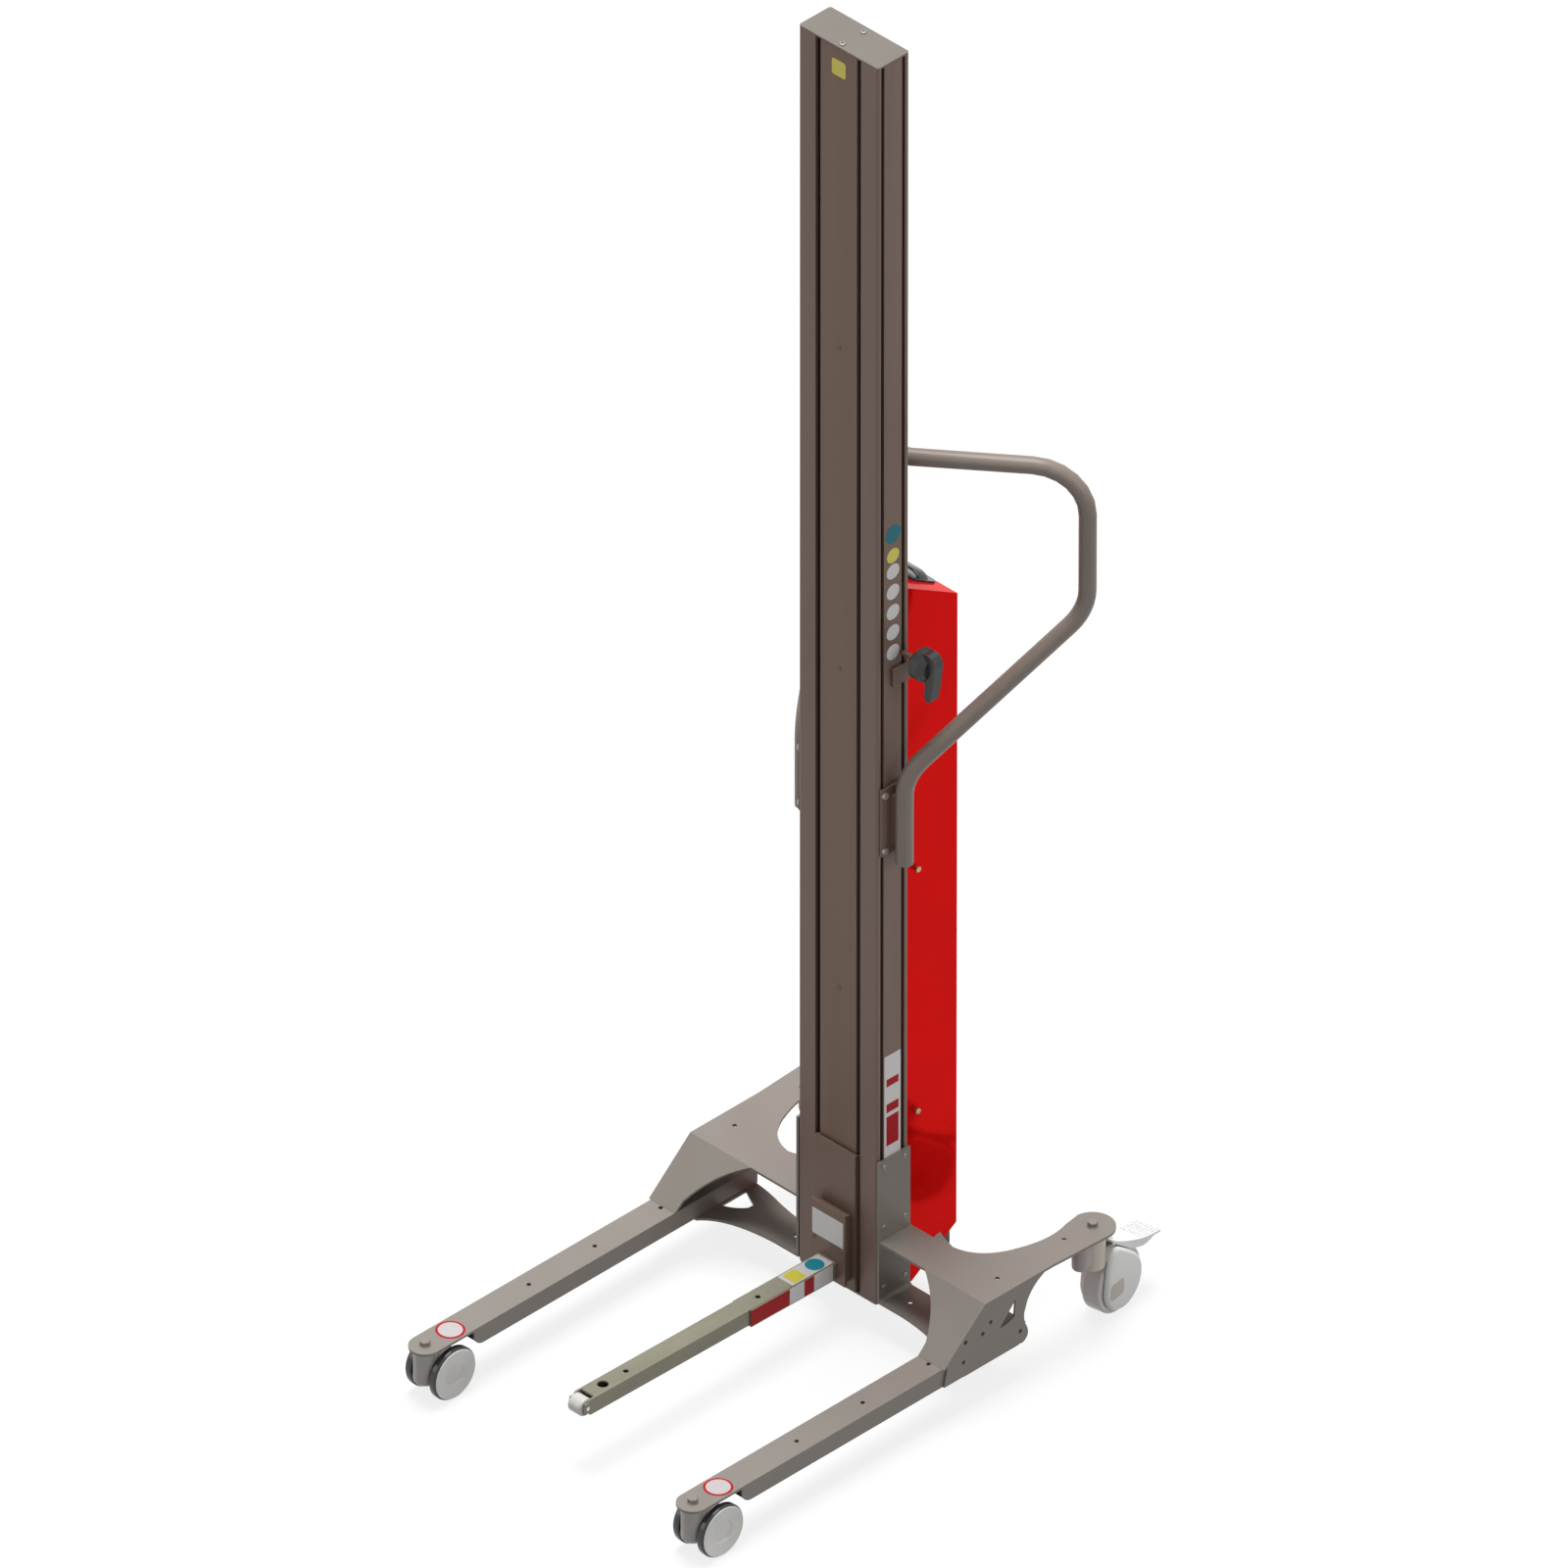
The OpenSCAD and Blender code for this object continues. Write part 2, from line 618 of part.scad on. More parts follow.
// Brake pedals, hinged on the back of the hood
pedal_axis_y = 34;
pedal_axis_z = rear_axle_z + 70;
pedal_tip_z = 88;
pedal_half = 8;
pedal_pin_r = 3;

module brake_pedal(s) color([0.92, 0.92, 0.92]) place() at_rear(s) {
    slope = atan2(pedal_axis_z + 4 - pedal_tip_z, pedal_l - pedal_axis_y);
    run = (pedal_l - pedal_axis_y) / cos(slope);
    difference() {
        union() {
            rod_x(-pedal_half, pedal_half, pedal_axis_y, pedal_axis_z, 8);
            translate([0, pedal_axis_y, pedal_axis_z + 4]) rotate([-slope, 0, 0]) {
                translate([-pedal_half, -2, -9]) cube([2 * pedal_half, 40, 9]);
                translate([0, 0, -5]) linear_extrude(5) polygon([
                    [-pedal_half - 4, 26], [-pedal_w / 2, 44], [-pedal_w / 2, run], [pedal_w / 2, run],
                    [pedal_w / 2, 44], [pedal_half + 4, 26]]);
                for (m = [-1, 1]) translate([m * (pedal_w / 2 - 1.5) - 1.5, 56, -11]) cube([3, run - 58, 7]);
                for (i = [0:6]) {
                    translate([-pedal_w / 2 + 3, run - 5 - i * 6, -seam]) cube([pedal_w - 6, 3, 1.6]);
                }
            }
        }
        rod_x(-30, 30, pedal_axis_y, pedal_axis_z, pedal_pin_r + run_gap);
    }
}

// Handle

function unit(v) = v / norm(v);

// Turn between two directions
function turn(a, b) = acos(min(1, a * b));

// Centre of the bend of the given radius at corner p between directions a and b
function bend_centre(p, a, b, r) = p - r * tan(turn(a, b) / 2) * a + r * cross(unit(cross(a, b)), a);

// Places along one rounded corner of a bent tube
function corner(o, p, q, r, steps) =
    let (a = unit(p - o), b = unit(q - p), c = bend_centre(p, a, b, r), x = unit(cross(a, unit(cross(a, b)))))
    [for (i = [0:steps]) let (w = turn(a, b) * i / steps) c + r * (cos(w) * x + sin(w) * a)];

// Route of a bent tube through points, with one bend radius at each inner point
function tube_route(points, radii, steps = 6) = concat([points[0]],
    [for (i = [1:len(points) - 2]) each corner(points[i - 1], points[i], points[i + 1], radii[i - 1], steps)],
    [points[len(points) - 1]]);

// Direction of the route at place i
function heading(route, i) =
    let (n = len(route) - 1)
    i == 0 ? unit(route[1] - route[0]) : i == n ? unit(route[n] - route[n - 1])
    : unit(unit(route[i + 1] - route[i]) + unit(route[i] - route[i - 1]));

// Hollow tube swept along a route
module swept_tube(route, r, wall, sides = 20) {
    n = len(route);
    lean = [0.2, -0.9, 0.45];
    rings = [for (i = [0:n - 1]) let (h = heading(route, i), u = unit(cross(h, lean)), v = cross(h, u))
        for (q = [r, r - wall]) for (k = [0:sides - 1]) let (w = 360 * k / sides)
            route[i] + q * (cos(w) * u + sin(w) * v)];
    row = 2 * sides;
    walls = [for (i = [0:n - 2]) for (k = [0:sides - 1]) let (m = (k + 1) % sides, a = i * row, b = a + row)
        each [[a + k, b + k, b + m, a + m], [a + sides + k, a + sides + m, b + sides + m, b + sides + k]]];
    last = (n - 1) * row;
    ends = [for (k = [0:sides - 1]) let (m = (k + 1) % sides)
        each [[k, m, sides + m, sides + k], [last + k, last + sides + k, last + sides + m, last + m]]];
    polyhedron(rings, concat(walls, ends));
}

// A solid round bar through points, with one bend radius at each inner point
module bent_bar(points, radii, r) {
    n = len(points);
    for (i = [0:n - 2]) {
        a = unit(points[i + 1] - points[i]);
        before = i == 0 ? 0 : radii[i - 1] * tan(turn(unit(points[i] - points[i - 1]), a) / 2);
        after = i == n - 2 ? 0 : radii[i] * tan(turn(a, unit(points[i + 2] - points[i + 1])) / 2);
        translate(points[i] + before * a) rotate([0, acos(a[2]), atan2(a[1], a[0])])
            cylinder(h = norm(points[i + 1] - points[i]) - before - after, r = r);
    }
    for (i = [1:n - 2]) {
        a = unit(points[i] - points[i - 1]);
        b = unit(points[i + 1] - points[i]);
        c = bend_centre(points[i], a, b, radii[i - 1]);
        z = unit(cross(a, b));
        x = cross(a, z);
        seat = [for (k = [0:2]) [x[k], a[k], z[k], c[k]]];
        multmatrix(seat)
            rotate_extrude(angle = turn(a, b)) translate([radii[i - 1], 0]) circle(r);
    }
}

module handle_tube() color(steel_c) place() {
    half = handle_path;
    full = concat(half, [for (i = [len(half) - 1:-1:0]) [-half[i][0], half[i][1], half[i][2]]]);
    radii = [handle_bend, handle_bend, handle_bend, 45, 45, handle_bend, handle_bend, handle_bend];
    swept_tube(tube_route(full, radii), handle_r, handle_wall);
}

handle_plate_z = [handle_end + 13, handle_knee - 21];
handle_bolt_z = [handle_plate_z[0] + 9, handle_plate_z[1] - 9];

module handle_bracket(s) color(steel_c) place() side(s) difference() {
    union() {
        block(bracket_x, bracket_out, 4, mast_d - 5, handle_plate_z[0], handle_plate_z[1]);
        block(bracket_out - 1, handle_x - handle_r * 0.55, handle_y - 9, handle_y + 9,
              handle_plate_z[0] + 14, handle_plate_z[1] - 14);
    }
    rod_z(handle_x, handle_y, handle_plate_z[0] - 1, handle_plate_z[1] + 1, handle_r + seam);
    for (y = side_slot_y) for (z = handle_bolt_z) rod_x(bracket_x - 1, bracket_out + 1, y, z, 3.3);
}

module handle_bolts() color(bolt_c) place() {
    for (s = [-1, 1]) side(s) for (y = side_slot_y) for (z = handle_bolt_z) {
        rod_x(bracket_out + seam, bracket_out + 4, y, z, 5);
        rod_x(mast_w / 2 - 3.5, bracket_out + 2, y, z, 2.6);
    }
    for (z = [-1, 1]) rod_y(0, cross_y + 19 + seam, cross_y + 23, grip_top + z * 18, 5);
}

module handle_saddle() color(steel_c) place() difference() {
    block(-12, 12, cover_y0, cross_y + 19, grip_top - 26, grip_top + 26);
    rod_x(-14, 14, cross_y, grip_top, handle_r + seam);
    // split of the clamp
    block(-13, 13, cross_y - 0.5, cross_y + 0.5, grip_top - 27, grip_top + 27);
}

// Drive housing behind the mast

module cover_profile(inset, front, low) {
    top = cover_top - inset / cos(cover_slope) - tan(cover_slope) * rest_gap;
    drop = tan(cover_slope) * (cover_y1 - inset - cover_y0);
    y1 = cover_y1 - inset;
    polygon([[front, cover_bottom - low], [front, top + tan(cover_slope) * (cover_y0 - front)],
             [y1, top - drop], [y1, cover_corner - low], [cover_bottom_y, cover_bottom - low]]);
}

module drive_cover() color(red_c) place() difference() {
    yz_plate(-cover_half, 2 * cover_half) cover_profile(0, cover_y0, 0);
    yz_plate(-cover_half + cover_t, 2 * (cover_half - cover_t)) cover_profile(cover_t, cover_y0 - 5, 20);
    for (p = cover_bolt_places) rod_x(-cover_half - 1, cover_half + 1, p[0], p[1], 3.3);
    for (m = [-1, 1]) {
        translate([m * grip_span, 0, 0]) on_slope(grip_place) cylinder(h = 20, r = 2.6, center = true);
    }
}

cover_bolt_places = [for (z = [333, 734]) [mast_d + 22, z]];
grip_span = 34;
grip_place = 78;

// Moves to a point on the sloping top, the given distance back from the mast
module on_slope(back) translate([0, cover_y0 + back, cover_top - tan(cover_slope) * (back + rest_gap)])
    rotate([-cover_slope, 0, 0]) children();

module drive_chassis() color([0.35, 0.35, 0.36]) place() difference() {
    union() {
        block(-58, 58, cover_y0, cover_y0 + 3, cover_corner + 50, cover_top - 60);
        for (s = [-1, 1]) side(s) for (p = cover_bolt_places) {
            block(cover_half - cover_t - rest_gap - 3, cover_half - cover_t - rest_gap,
                  cover_y0, p[0] + 9, p[1] - 12, p[1] + 12);
            block(57, cover_half - cover_t - rest_gap, cover_y0, cover_y0 + 3, p[1] - 12, p[1] + 12);
        }
    }
    for (p = cover_bolt_places) rod_x(-cover_half, cover_half, p[0], p[1], 3.3);
}

inner_y0 = cover_y0 + 3 + rest_gap;

battery_size = [cover_half * 2 - 32, cover_d - 32, 190];
battery_step = battery_size[2] + 15;
battery_z = cover_top - 2 * battery_step - 156;

module battery_pack() color([0.16, 0.17, 0.19]) place() for (i = [0:1]) {
    z = battery_z + i * battery_step;
    half = battery_size[0] / 2;
    block(-half, half, inner_y0, inner_y0 + battery_size[1], z, z + battery_size[2]);
    for (m = [-1, 1]) {
        rod_z(m * half * 0.56, inner_y0 + battery_size[1] / 2,
              z + battery_size[2], z + battery_size[2] + 8, 6);
    }
}

motor_y = mast_d + 48;

module lift_motor() color(black_c) place() {
    rod_z(0, motor_y, gear_top + seam, gear_top + 130, 38);
    rod_z(0, motor_y, gear_top + 130, gear_top + 160, 30);
    block(-16, 16, inner_y0, motor_y, gear_top + 40, gear_top + 90);
}

gear_top = drive_z + 34;
gear_low = 72;
gear_half = cover_half - cover_t - 3;

module lift_gearbox() color(black_c) place() difference() {
    union() {
        block(-spine_in + rest_gap * 2, spine_in - rest_gap * 2, 12, motor_y, drive_z - 26, drive_z + 28);
        block(-gear_half, gear_half, cover_y0, cover_y1 - 8, gear_low, gear_top - 8);
        rod_z(0, motor_y, gear_top - 10, gear_top, 40);
    }
    rod_x(-spine_out, spine_out, chamber_mid, drive_z, shaft_r + run_gap);
}

controller_half = cover_half - 24;
controller_z = [battery_z - 220, battery_z - 70];

// Controller with cooling fins on its back
module motor_controller() color([0.25, 0.26, 0.27]) place() {
    block(-controller_half, controller_half, inner_y0, inner_y0 + 34,
          controller_z[0], controller_z[1]);
    for (i = [0:6]) {
        x = (controller_half - 3.5) * (i / 3 - 1);
        block(x - 1.5, x + 1.5, inner_y0 + 34, inner_y0 + 50, controller_z[0] + 5, controller_z[1] - 5);
    }
}

module cover_bolts() color(bolt_c) place() for (s = [-1, 1]) side(s) for (p = cover_bolt_places) {
    rod_x(cover_half + seam, cover_half + 1.5, p[0], p[1], 7.5);
    translate([cover_half + 1.5, p[0], p[1]]) rotate([0, 90, 0]) cylinder(h = 6, d = 11.5, $fn = 6);
    rod_x(cover_half - 9, cover_half + 2, p[0], p[1], 2.9);
}

module cover_grip() color(black_c) place() on_slope(grip_place) {
    bow = [[-grip_span, 0, seam], [-grip_span, 0, 30], [grip_span, 0, 30], [grip_span, 0, seam]];
    bent_bar(bow, [14, 14], 5.5);
    for (m = [-1, 1]) translate([m * grip_span, 0, seam]) cylinder(h = 4, r = 9);
}

// Lift belts and their pulleys

module lift_belt(s) color(black_c) place() side(s) yz_plate(belt_x, belt_w) difference() {
    union() {
        for (z = [drive_z, idler_z]) translate([chamber_mid, z]) circle(pulley_r + rest_gap + belt_t);
        translate([chamber_mid - pulley_r - rest_gap - belt_t, drive_z])
            square([2 * (pulley_r + rest_gap + belt_t), idler_z - drive_z]);
    }
    for (z = [drive_z, idler_z]) translate([chamber_mid, z]) circle(pulley_r + rest_gap);
    translate([chamber_mid - pulley_r - rest_gap, drive_z])
        square([2 * (pulley_r + rest_gap), idler_z - drive_z]);
}

module pulley_shaft(z, r) {
    rod_x(-belt_x - belt_w, belt_x + belt_w, chamber_mid, z, r);
    for (s = [-1, 1]) {
        side(s) rod_x(spine_out + rest_gap, belt_x + belt_w + rest_gap, chamber_mid, z, pulley_r);
    }
}

module drive_shaft() color(bolt_c) place() pulley_shaft(drive_z, shaft_r);

module idler_shaft() color(bolt_c) place() pulley_shaft(idler_z, idler_r);

// Carriage

module carriage_frame() color(steel_c) place() difference() {
    union() {
        block(-carriage_half, carriage_half, -plate_gap - carriage_t, -plate_gap,
              carriage_z, carriage_z + carriage_h);
        for (s = [-1, 1]) side(s) block(web_x, web_out, -plate_gap - 1, web_back,
                                        carriage_z + 2, carriage_z + carriage_h - 2);
    }
    for (z = [guide_low, guide_high]) rod_x(-60, 60, chamber_mid, z, guide_pin_r - 2 + seam);
}

module roller_pins() color(bolt_c) place() for (s = [-1, 1]) side(s) for (z = [guide_low, guide_high]) {
    rod_x(web_x, web_out + 1, chamber_mid, z, guide_pin_r - 2);
    rod_x(web_out + seam, guide_x + guide_w + 1.5, chamber_mid, z, guide_pin_r);
    rod_x(web_out + seam, guide_x - rest_gap, chamber_mid, z, guide_pin_r + 4);
    rod_x(guide_x + guide_w + rest_gap, guide_x + guide_w + 1.5, chamber_mid, z, guide_pin_r + 3);
}

module guide_roller(s, z) color(black_c) place() side(s) difference() {
    rod_x(guide_x, guide_x + guide_w, chamber_mid, z, guide_r);
    rod_x(guide_x - 1, guide_x + guide_w + 1, chamber_mid, z, guide_pin_r + run_gap);
    for (x = [guide_x - 1, guide_x + guide_w - 3]) translate([x, chamber_mid, z]) rotate([0, 90, 0])
        difference() {
            cylinder(h = 4, r = guide_r - 5);
            cylinder(h = 4, r = guide_pin_r + 6);
        }
}

module belt_clamps() color(bolt_c) place() for (s = [-1, 1]) side(s) {
    run = chamber_mid - pulley_r - rest_gap;
    difference() {
        block(belt_x, web_x, chamber_y0 + rest_gap, run + 10, carriage_z + 95, carriage_z + 125);
        block(belt_x - 1, belt_x + belt_w + rest_gap, run - belt_t - rest_gap, run + rest_gap,
              carriage_z + 90, carriage_z + 130);
    }
}

// Raised bracket that carries the boom: a plate in front of a narrower spacer
module boom_bracket() color(steel_c) place() difference() {
    union() {
        block(-boom_bracket_half, boom_bracket_half, bracket_front, bracket_front + bracket_t,
              boom_bracket_low, boom_bracket_high);
        block(-boom_bracket_half + 4, boom_bracket_half - 4, bracket_front + bracket_t - 1, plate_front,
              boom_bracket_low + 4, boom_bracket_high - 6);
    }
    for (p = bracket_screw_places) rod_y(p[0], bracket_front - 1, bracket_front + 6, p[1], 2.6);
}

module bracket_screws() color(bolt_c) place() for (p = bracket_screw_places) {
    rod_y(p[0], bracket_front - 3, bracket_front - seam, p[1], 4.5);
    rod_y(p[0], bracket_front - 3, bracket_front + 5, p[1], 2.5);
}

module bracket_label() color([0.9, 0.9, 0.88]) place()
    block(-22, 22, bracket_front - 0.8, bracket_front - seam, boom_bracket_high - 50, boom_bracket_high - 5);

// The boom is drawn level and tilted about its root
module at_boom() translate([0, boom_root, boom_top]) rotate([-boom_tilt, 0, 0]) translate([0, -boom_root, 0])
    children();

tip_level = -boom_h / 2;

module boom_tube() color(zinc_c) place() at_boom() difference() {
    union() {
        block(-boom_w / 2, boom_w / 2, tip_y, bracket_front - seam * 4, -boom_h, 0);
        // rounded cheeks beside the tip roller
        rod_x(-boom_w / 2, boom_w / 2, tip_y, tip_level, 7.5);
        difference() {
            block(-boom_w / 2, boom_w / 2, tip_y - 7, tip_y, -boom_h + 4, -4);
            block(-boom_w / 2 - 1, boom_w / 2 + 1, tip_y - 8, tip_y - 6, -boom_h, 0);
        }
    }
    block(-boom_w / 2 + boom_wall, boom_w / 2 - boom_wall, tip_y - 20, bracket_front + 5,
          -boom_h + boom_wall, -boom_wall);
    // the roller sits in a slot through the top and bottom walls
    block(-boom_w / 2 + boom_wall, boom_w / 2 - boom_wall, tip_y - 20, tip_y + tip_roller_d / 2 + 1,
          -boom_h - 1, 1);
    // the cheeks are lower than the roller
    difference() {
        for (z = [[-4, 2], [-boom_h - 2, -boom_h + 4]])
            block(-boom_w / 2 - 1, boom_w / 2 + 1, tip_y - 20, tip_y + 10, z[0], z[1]);
        rod_x(-boom_w / 2 - 2, boom_w / 2 + 2, tip_y + 12, tip_level, 14);
    }
    rod_x(-boom_w, boom_w, tip_y, tip_level, tip_pin_r + seam);
    for (h = [[-153, 4], [-405, 4], [-449, 8]]) rod_z(0, h[0], -boom_wall - 1, 1, h[1]);
}

// Folded channel that stiffens the root of the boom
module boom_sleeve() color(zinc_c) place() at_boom() {
    x0 = boom_w / 2 + seam;
    for (s = [-1, 1]) side(s) block(x0, x0 + sleeve_t, -sleeve_reach, bracket_front - seam * 4,
                                    -boom_h - 3, -0.8);
    block(-x0 - 1, x0 + 1, -sleeve_reach, bracket_front - seam * 4, -boom_h - 3, -boom_h - seam);
}

module boom_tip_pin() color(bolt_c) place() at_boom() {
    rod_x(-boom_w / 2 - 0.5, boom_w / 2 + 0.5, tip_y, tip_level, tip_pin_r);
}

module tip_roller() color(pale_c) place() at_boom() translate([0, tip_y, tip_level]) rotate([0, 90, 0])
    rotate_extrude() difference() {
        w = boom_w - 2 * boom_wall - 2 * rest_gap;
        tyre_section(tip_roller_d / 2, 0, w, 3);
        translate([-1, -w]) square([1 + tip_pin_r + run_gap, 2 * w]);
    }

// Clamping lever in the rear groove on the right side, beside the knee of the handle
lever_z = handle_knee + 184;
lever_y = side_slot_y[1];
lever_hub_r = 23.5;
lever_hub_x = mast_w / 2 + 31;
lever_stud_r = 4;

// Stud of the lever, and the flat stop below it on the mast's side
module lever_mount() color(steel_c) place() {
    block(bracket_x, bracket_out, lever_y - 23, lever_y + 10, lever_z - 45, lever_z - 16);
    rod_x(mast_w / 2 - 3.5, lever_hub_x + 17, lever_y, lever_z, lever_stud_r - 1.5);
    rod_x(bracket_x, lever_hub_x + 17, lever_y, lever_z, lever_stud_r);
}

module clamp_lever() color(black_c) place() difference() {
    union() {
        translate([lever_hub_x - 6, lever_y, lever_z]) rotate([0, 90, 0])
            cylinder(h = 8, r1 = lever_hub_r - 9, r2 = lever_hub_r);
        rod_x(lever_hub_x + 2, lever_hub_x + 16, lever_y, lever_z, lever_hub_r);
        translate([lever_hub_x + 16, lever_y, lever_z]) rotate([0, 90, 0])
            cylinder(h = 8, r1 = lever_hub_r, r2 = lever_hub_r - 8);
        // arm, bent down at its outer end
        translate([lever_hub_x, lever_y + 8, lever_z]) rotate([90, 0, 0]) linear_extrude(16)
            polygon(concat([[6, -16], [6, 21], [22, 25]],
                           curve([22, 25], [37, 25], [37, 8]),
                           [[33, -27]],
                           arc(23, -46, 6, -10, -170, 8),
                           [[18, -26], [15, -16]]));
    }
    rod_x(lever_hub_x - 8, lever_hub_x + 18, lever_y, lever_z, lever_stud_r + run_gap);
}

mast_profile();
mast_cap();
mast_cover_strip();
mast_screws();
mast_foot_plate();
side_bracket(1);  // side_bracket_right
side_bracket(-1);  // side_bracket_left
top_plate(1);  // top_plate_right
top_plate(-1);  // top_plate_left
leg(1);  // leg_right
leg(-1);  // leg_left
bracket_bolts();
caster_bolts();
handle_tube();
handle_bracket(1);  // handle_bracket_right
handle_bracket(-1);  // handle_bracket_left
handle_bolts();
handle_saddle();
drive_cover();
drive_chassis();
battery_pack();
lift_motor();
lift_gearbox();
motor_controller();
cover_bolts();
cover_grip();
lift_belt(1);  // lift_belt_right
lift_belt(-1);  // lift_belt_left
lever_mount();
carriage_frame();
boom_bracket();
bracket_screws();
bracket_label();
boom_tube();
boom_sleeve();
belt_clamps();
roller_pins();
boom_tip_pin();
guide_roller(1, guide_high);  // guide_roller_upper_right
guide_roller(-1, guide_high);  // guide_roller_upper_left
guide_roller(1, guide_low);  // guide_roller_lower_right
guide_roller(-1, guide_low);  // guide_roller_lower_left
tip_roller();
drive_shaft();
idler_shaft();
front_caster_body(1);  // front_caster_body_right
front_caster_body(-1);  // front_caster_body_left
front_wheel_hubs(1);  // front_wheel_hubs_right
front_wheel_hubs(-1);  // front_wheel_hubs_left
front_tyres(1);  // front_tyres_right
front_tyres(-1);  // front_tyres_left
rear_caster_body(1);  // rear_caster_body_right
rear_caster_body(-1);  // rear_caster_body_left
rear_wheel(1);  // rear_wheel_right
rear_wheel(-1);  // rear_wheel_left
rear_axle(1);  // rear_axle_right
rear_axle(-1);  // rear_axle_left
brake_pedal(1);  // brake_pedal_right
brake_pedal(-1);  // brake_pedal_left
clamp_lever();
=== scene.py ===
"""Looks of the single-mast stacker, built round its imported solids. Metres, +Z up, boom at -Y."""

import json
import math

import bmesh
import bpy
from mathutils import Matrix, Vector

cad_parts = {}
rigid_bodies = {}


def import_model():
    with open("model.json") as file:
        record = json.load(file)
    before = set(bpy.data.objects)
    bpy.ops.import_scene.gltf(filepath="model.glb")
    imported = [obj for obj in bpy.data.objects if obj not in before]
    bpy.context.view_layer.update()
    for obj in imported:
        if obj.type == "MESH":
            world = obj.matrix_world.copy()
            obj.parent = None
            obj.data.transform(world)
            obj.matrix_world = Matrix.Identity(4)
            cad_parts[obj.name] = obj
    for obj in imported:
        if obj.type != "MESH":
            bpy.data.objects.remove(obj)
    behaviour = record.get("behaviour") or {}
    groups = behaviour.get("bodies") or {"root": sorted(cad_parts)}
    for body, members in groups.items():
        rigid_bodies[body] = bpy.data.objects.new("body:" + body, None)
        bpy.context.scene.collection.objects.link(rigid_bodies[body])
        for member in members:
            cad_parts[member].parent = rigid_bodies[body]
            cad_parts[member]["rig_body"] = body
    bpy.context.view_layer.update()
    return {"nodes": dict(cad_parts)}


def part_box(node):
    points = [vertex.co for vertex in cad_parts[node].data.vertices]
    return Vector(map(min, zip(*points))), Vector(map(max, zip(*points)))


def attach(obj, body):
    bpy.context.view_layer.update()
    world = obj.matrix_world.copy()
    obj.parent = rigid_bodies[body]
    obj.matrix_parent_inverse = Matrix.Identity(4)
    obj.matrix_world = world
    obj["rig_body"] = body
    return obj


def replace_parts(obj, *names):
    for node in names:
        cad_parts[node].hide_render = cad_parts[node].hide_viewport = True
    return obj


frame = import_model()

# Studio. A white floor that still takes the machine's soft shadow, a broad lamp overhead,
# a weak one on each side, and a long lens from the upper right front, at the photograph's angle.
view_across = 2.112
lens = 1500.0
sensor = 36.0
farthest = 400
target = Vector((0.0, -0.0075, 0.9315))
view_back = Vector((1.0, -1.0, 1.0)).normalized()

camera = bpy.data.objects.new("camera", bpy.data.cameras.new("camera"))
bpy.context.scene.collection.objects.link(camera)
camera.data.lens = lens
camera.data.sensor_width = sensor
camera.data.clip_end = farthest
camera.location = target + view_back * (lens * view_across / sensor)
camera.rotation_mode = "QUATERNION"
camera.rotation_quaternion = (-view_back).to_track_quat("-Z", "Y")
bpy.context.scene.camera = camera
bpy.context.scene.view_settings.view_transform = "Standard"


def background_rays(tree):
    """Socket that is 1 for rays from the camera, off gloss and through glass, and 0 for others."""
    paths = tree.nodes.new("ShaderNodeLightPath")
    direct = tree.nodes.new("ShaderNodeMath")
    direct.operation = "MAXIMUM"
    every = tree.nodes.new("ShaderNodeMath")
    every.operation = "MAXIMUM"
    tree.links.new(paths.outputs["Is Camera Ray"], direct.inputs[0])
    tree.links.new(paths.outputs["Is Glossy Ray"], direct.inputs[1])
    tree.links.new(direct.outputs[0], every.inputs[0])
    tree.links.new(paths.outputs["Is Transmission Ray"], every.inputs[1])
    return every.outputs[0]


world_light = 0.27
world = bpy.data.worlds.new("studio")
bpy.context.scene.world = world
world.use_nodes = True
tree = world.node_tree
tree.nodes.clear()
level = tree.nodes.new("ShaderNodeMapRange")
level.inputs["To Min"].default_value = world_light
level.inputs["To Max"].default_value = 1.0
sky = tree.nodes.new("ShaderNodeBackground")
sky.inputs["Color"].default_value = (1.0, 1.0, 1.0, 1.0)
surface = tree.nodes.new("ShaderNodeOutputWorld")
tree.links.new(background_rays(tree), level.inputs["Value"])
tree.links.new(level.outputs["Result"], sky.inputs["Strength"])
tree.links.new(sky.outputs[0], surface.inputs["Surface"])

floor_reach = 150
floor_white = (0.96, 0.96, 0.96, 1)
floor_bounce = (0.30, 0.30, 0.30, 1)
floor_glow = 0.82
floor_mesh = bpy.data.meshes.new("floor")
bm = bmesh.new()
bmesh.ops.create_grid(bm, x_segments=1, y_segments=1, size=floor_reach)
bm.to_mesh(floor_mesh)
bm.free()
floor = bpy.data.objects.new("floor", floor_mesh)
bpy.context.scene.collection.objects.link(floor)
paint = bpy.data.materials.new("studio_floor")
paint.use_nodes = True
tree = paint.node_tree
tree.nodes.clear()
shaded = tree.nodes.new("ShaderNodeBsdfDiffuse")
shaded.inputs["Color"].default_value = floor_white
glow = tree.nodes.new("ShaderNodeEmission")
glow.inputs["Color"].default_value = (1, 1, 1, 1)
seen = tree.nodes.new("ShaderNodeMixShader")
seen.inputs[0].default_value = floor_glow
bounce = tree.nodes.new("ShaderNodeBsdfDiffuse")
bounce.inputs["Color"].default_value = floor_bounce
pick = tree.nodes.new("ShaderNodeMixShader")
surface = tree.nodes.new("ShaderNodeOutputMaterial")
tree.links.new(shaded.outputs[0], seen.inputs[1])
tree.links.new(glow.outputs[0], seen.inputs[2])
tree.links.new(background_rays(tree), pick.inputs[0])
tree.links.new(bounce.outputs[0], pick.inputs[1])
tree.links.new(seen.outputs[0], pick.inputs[2])
tree.links.new(pick.outputs[0], surface.inputs["Surface"])
floor_mesh.materials.append(paint)


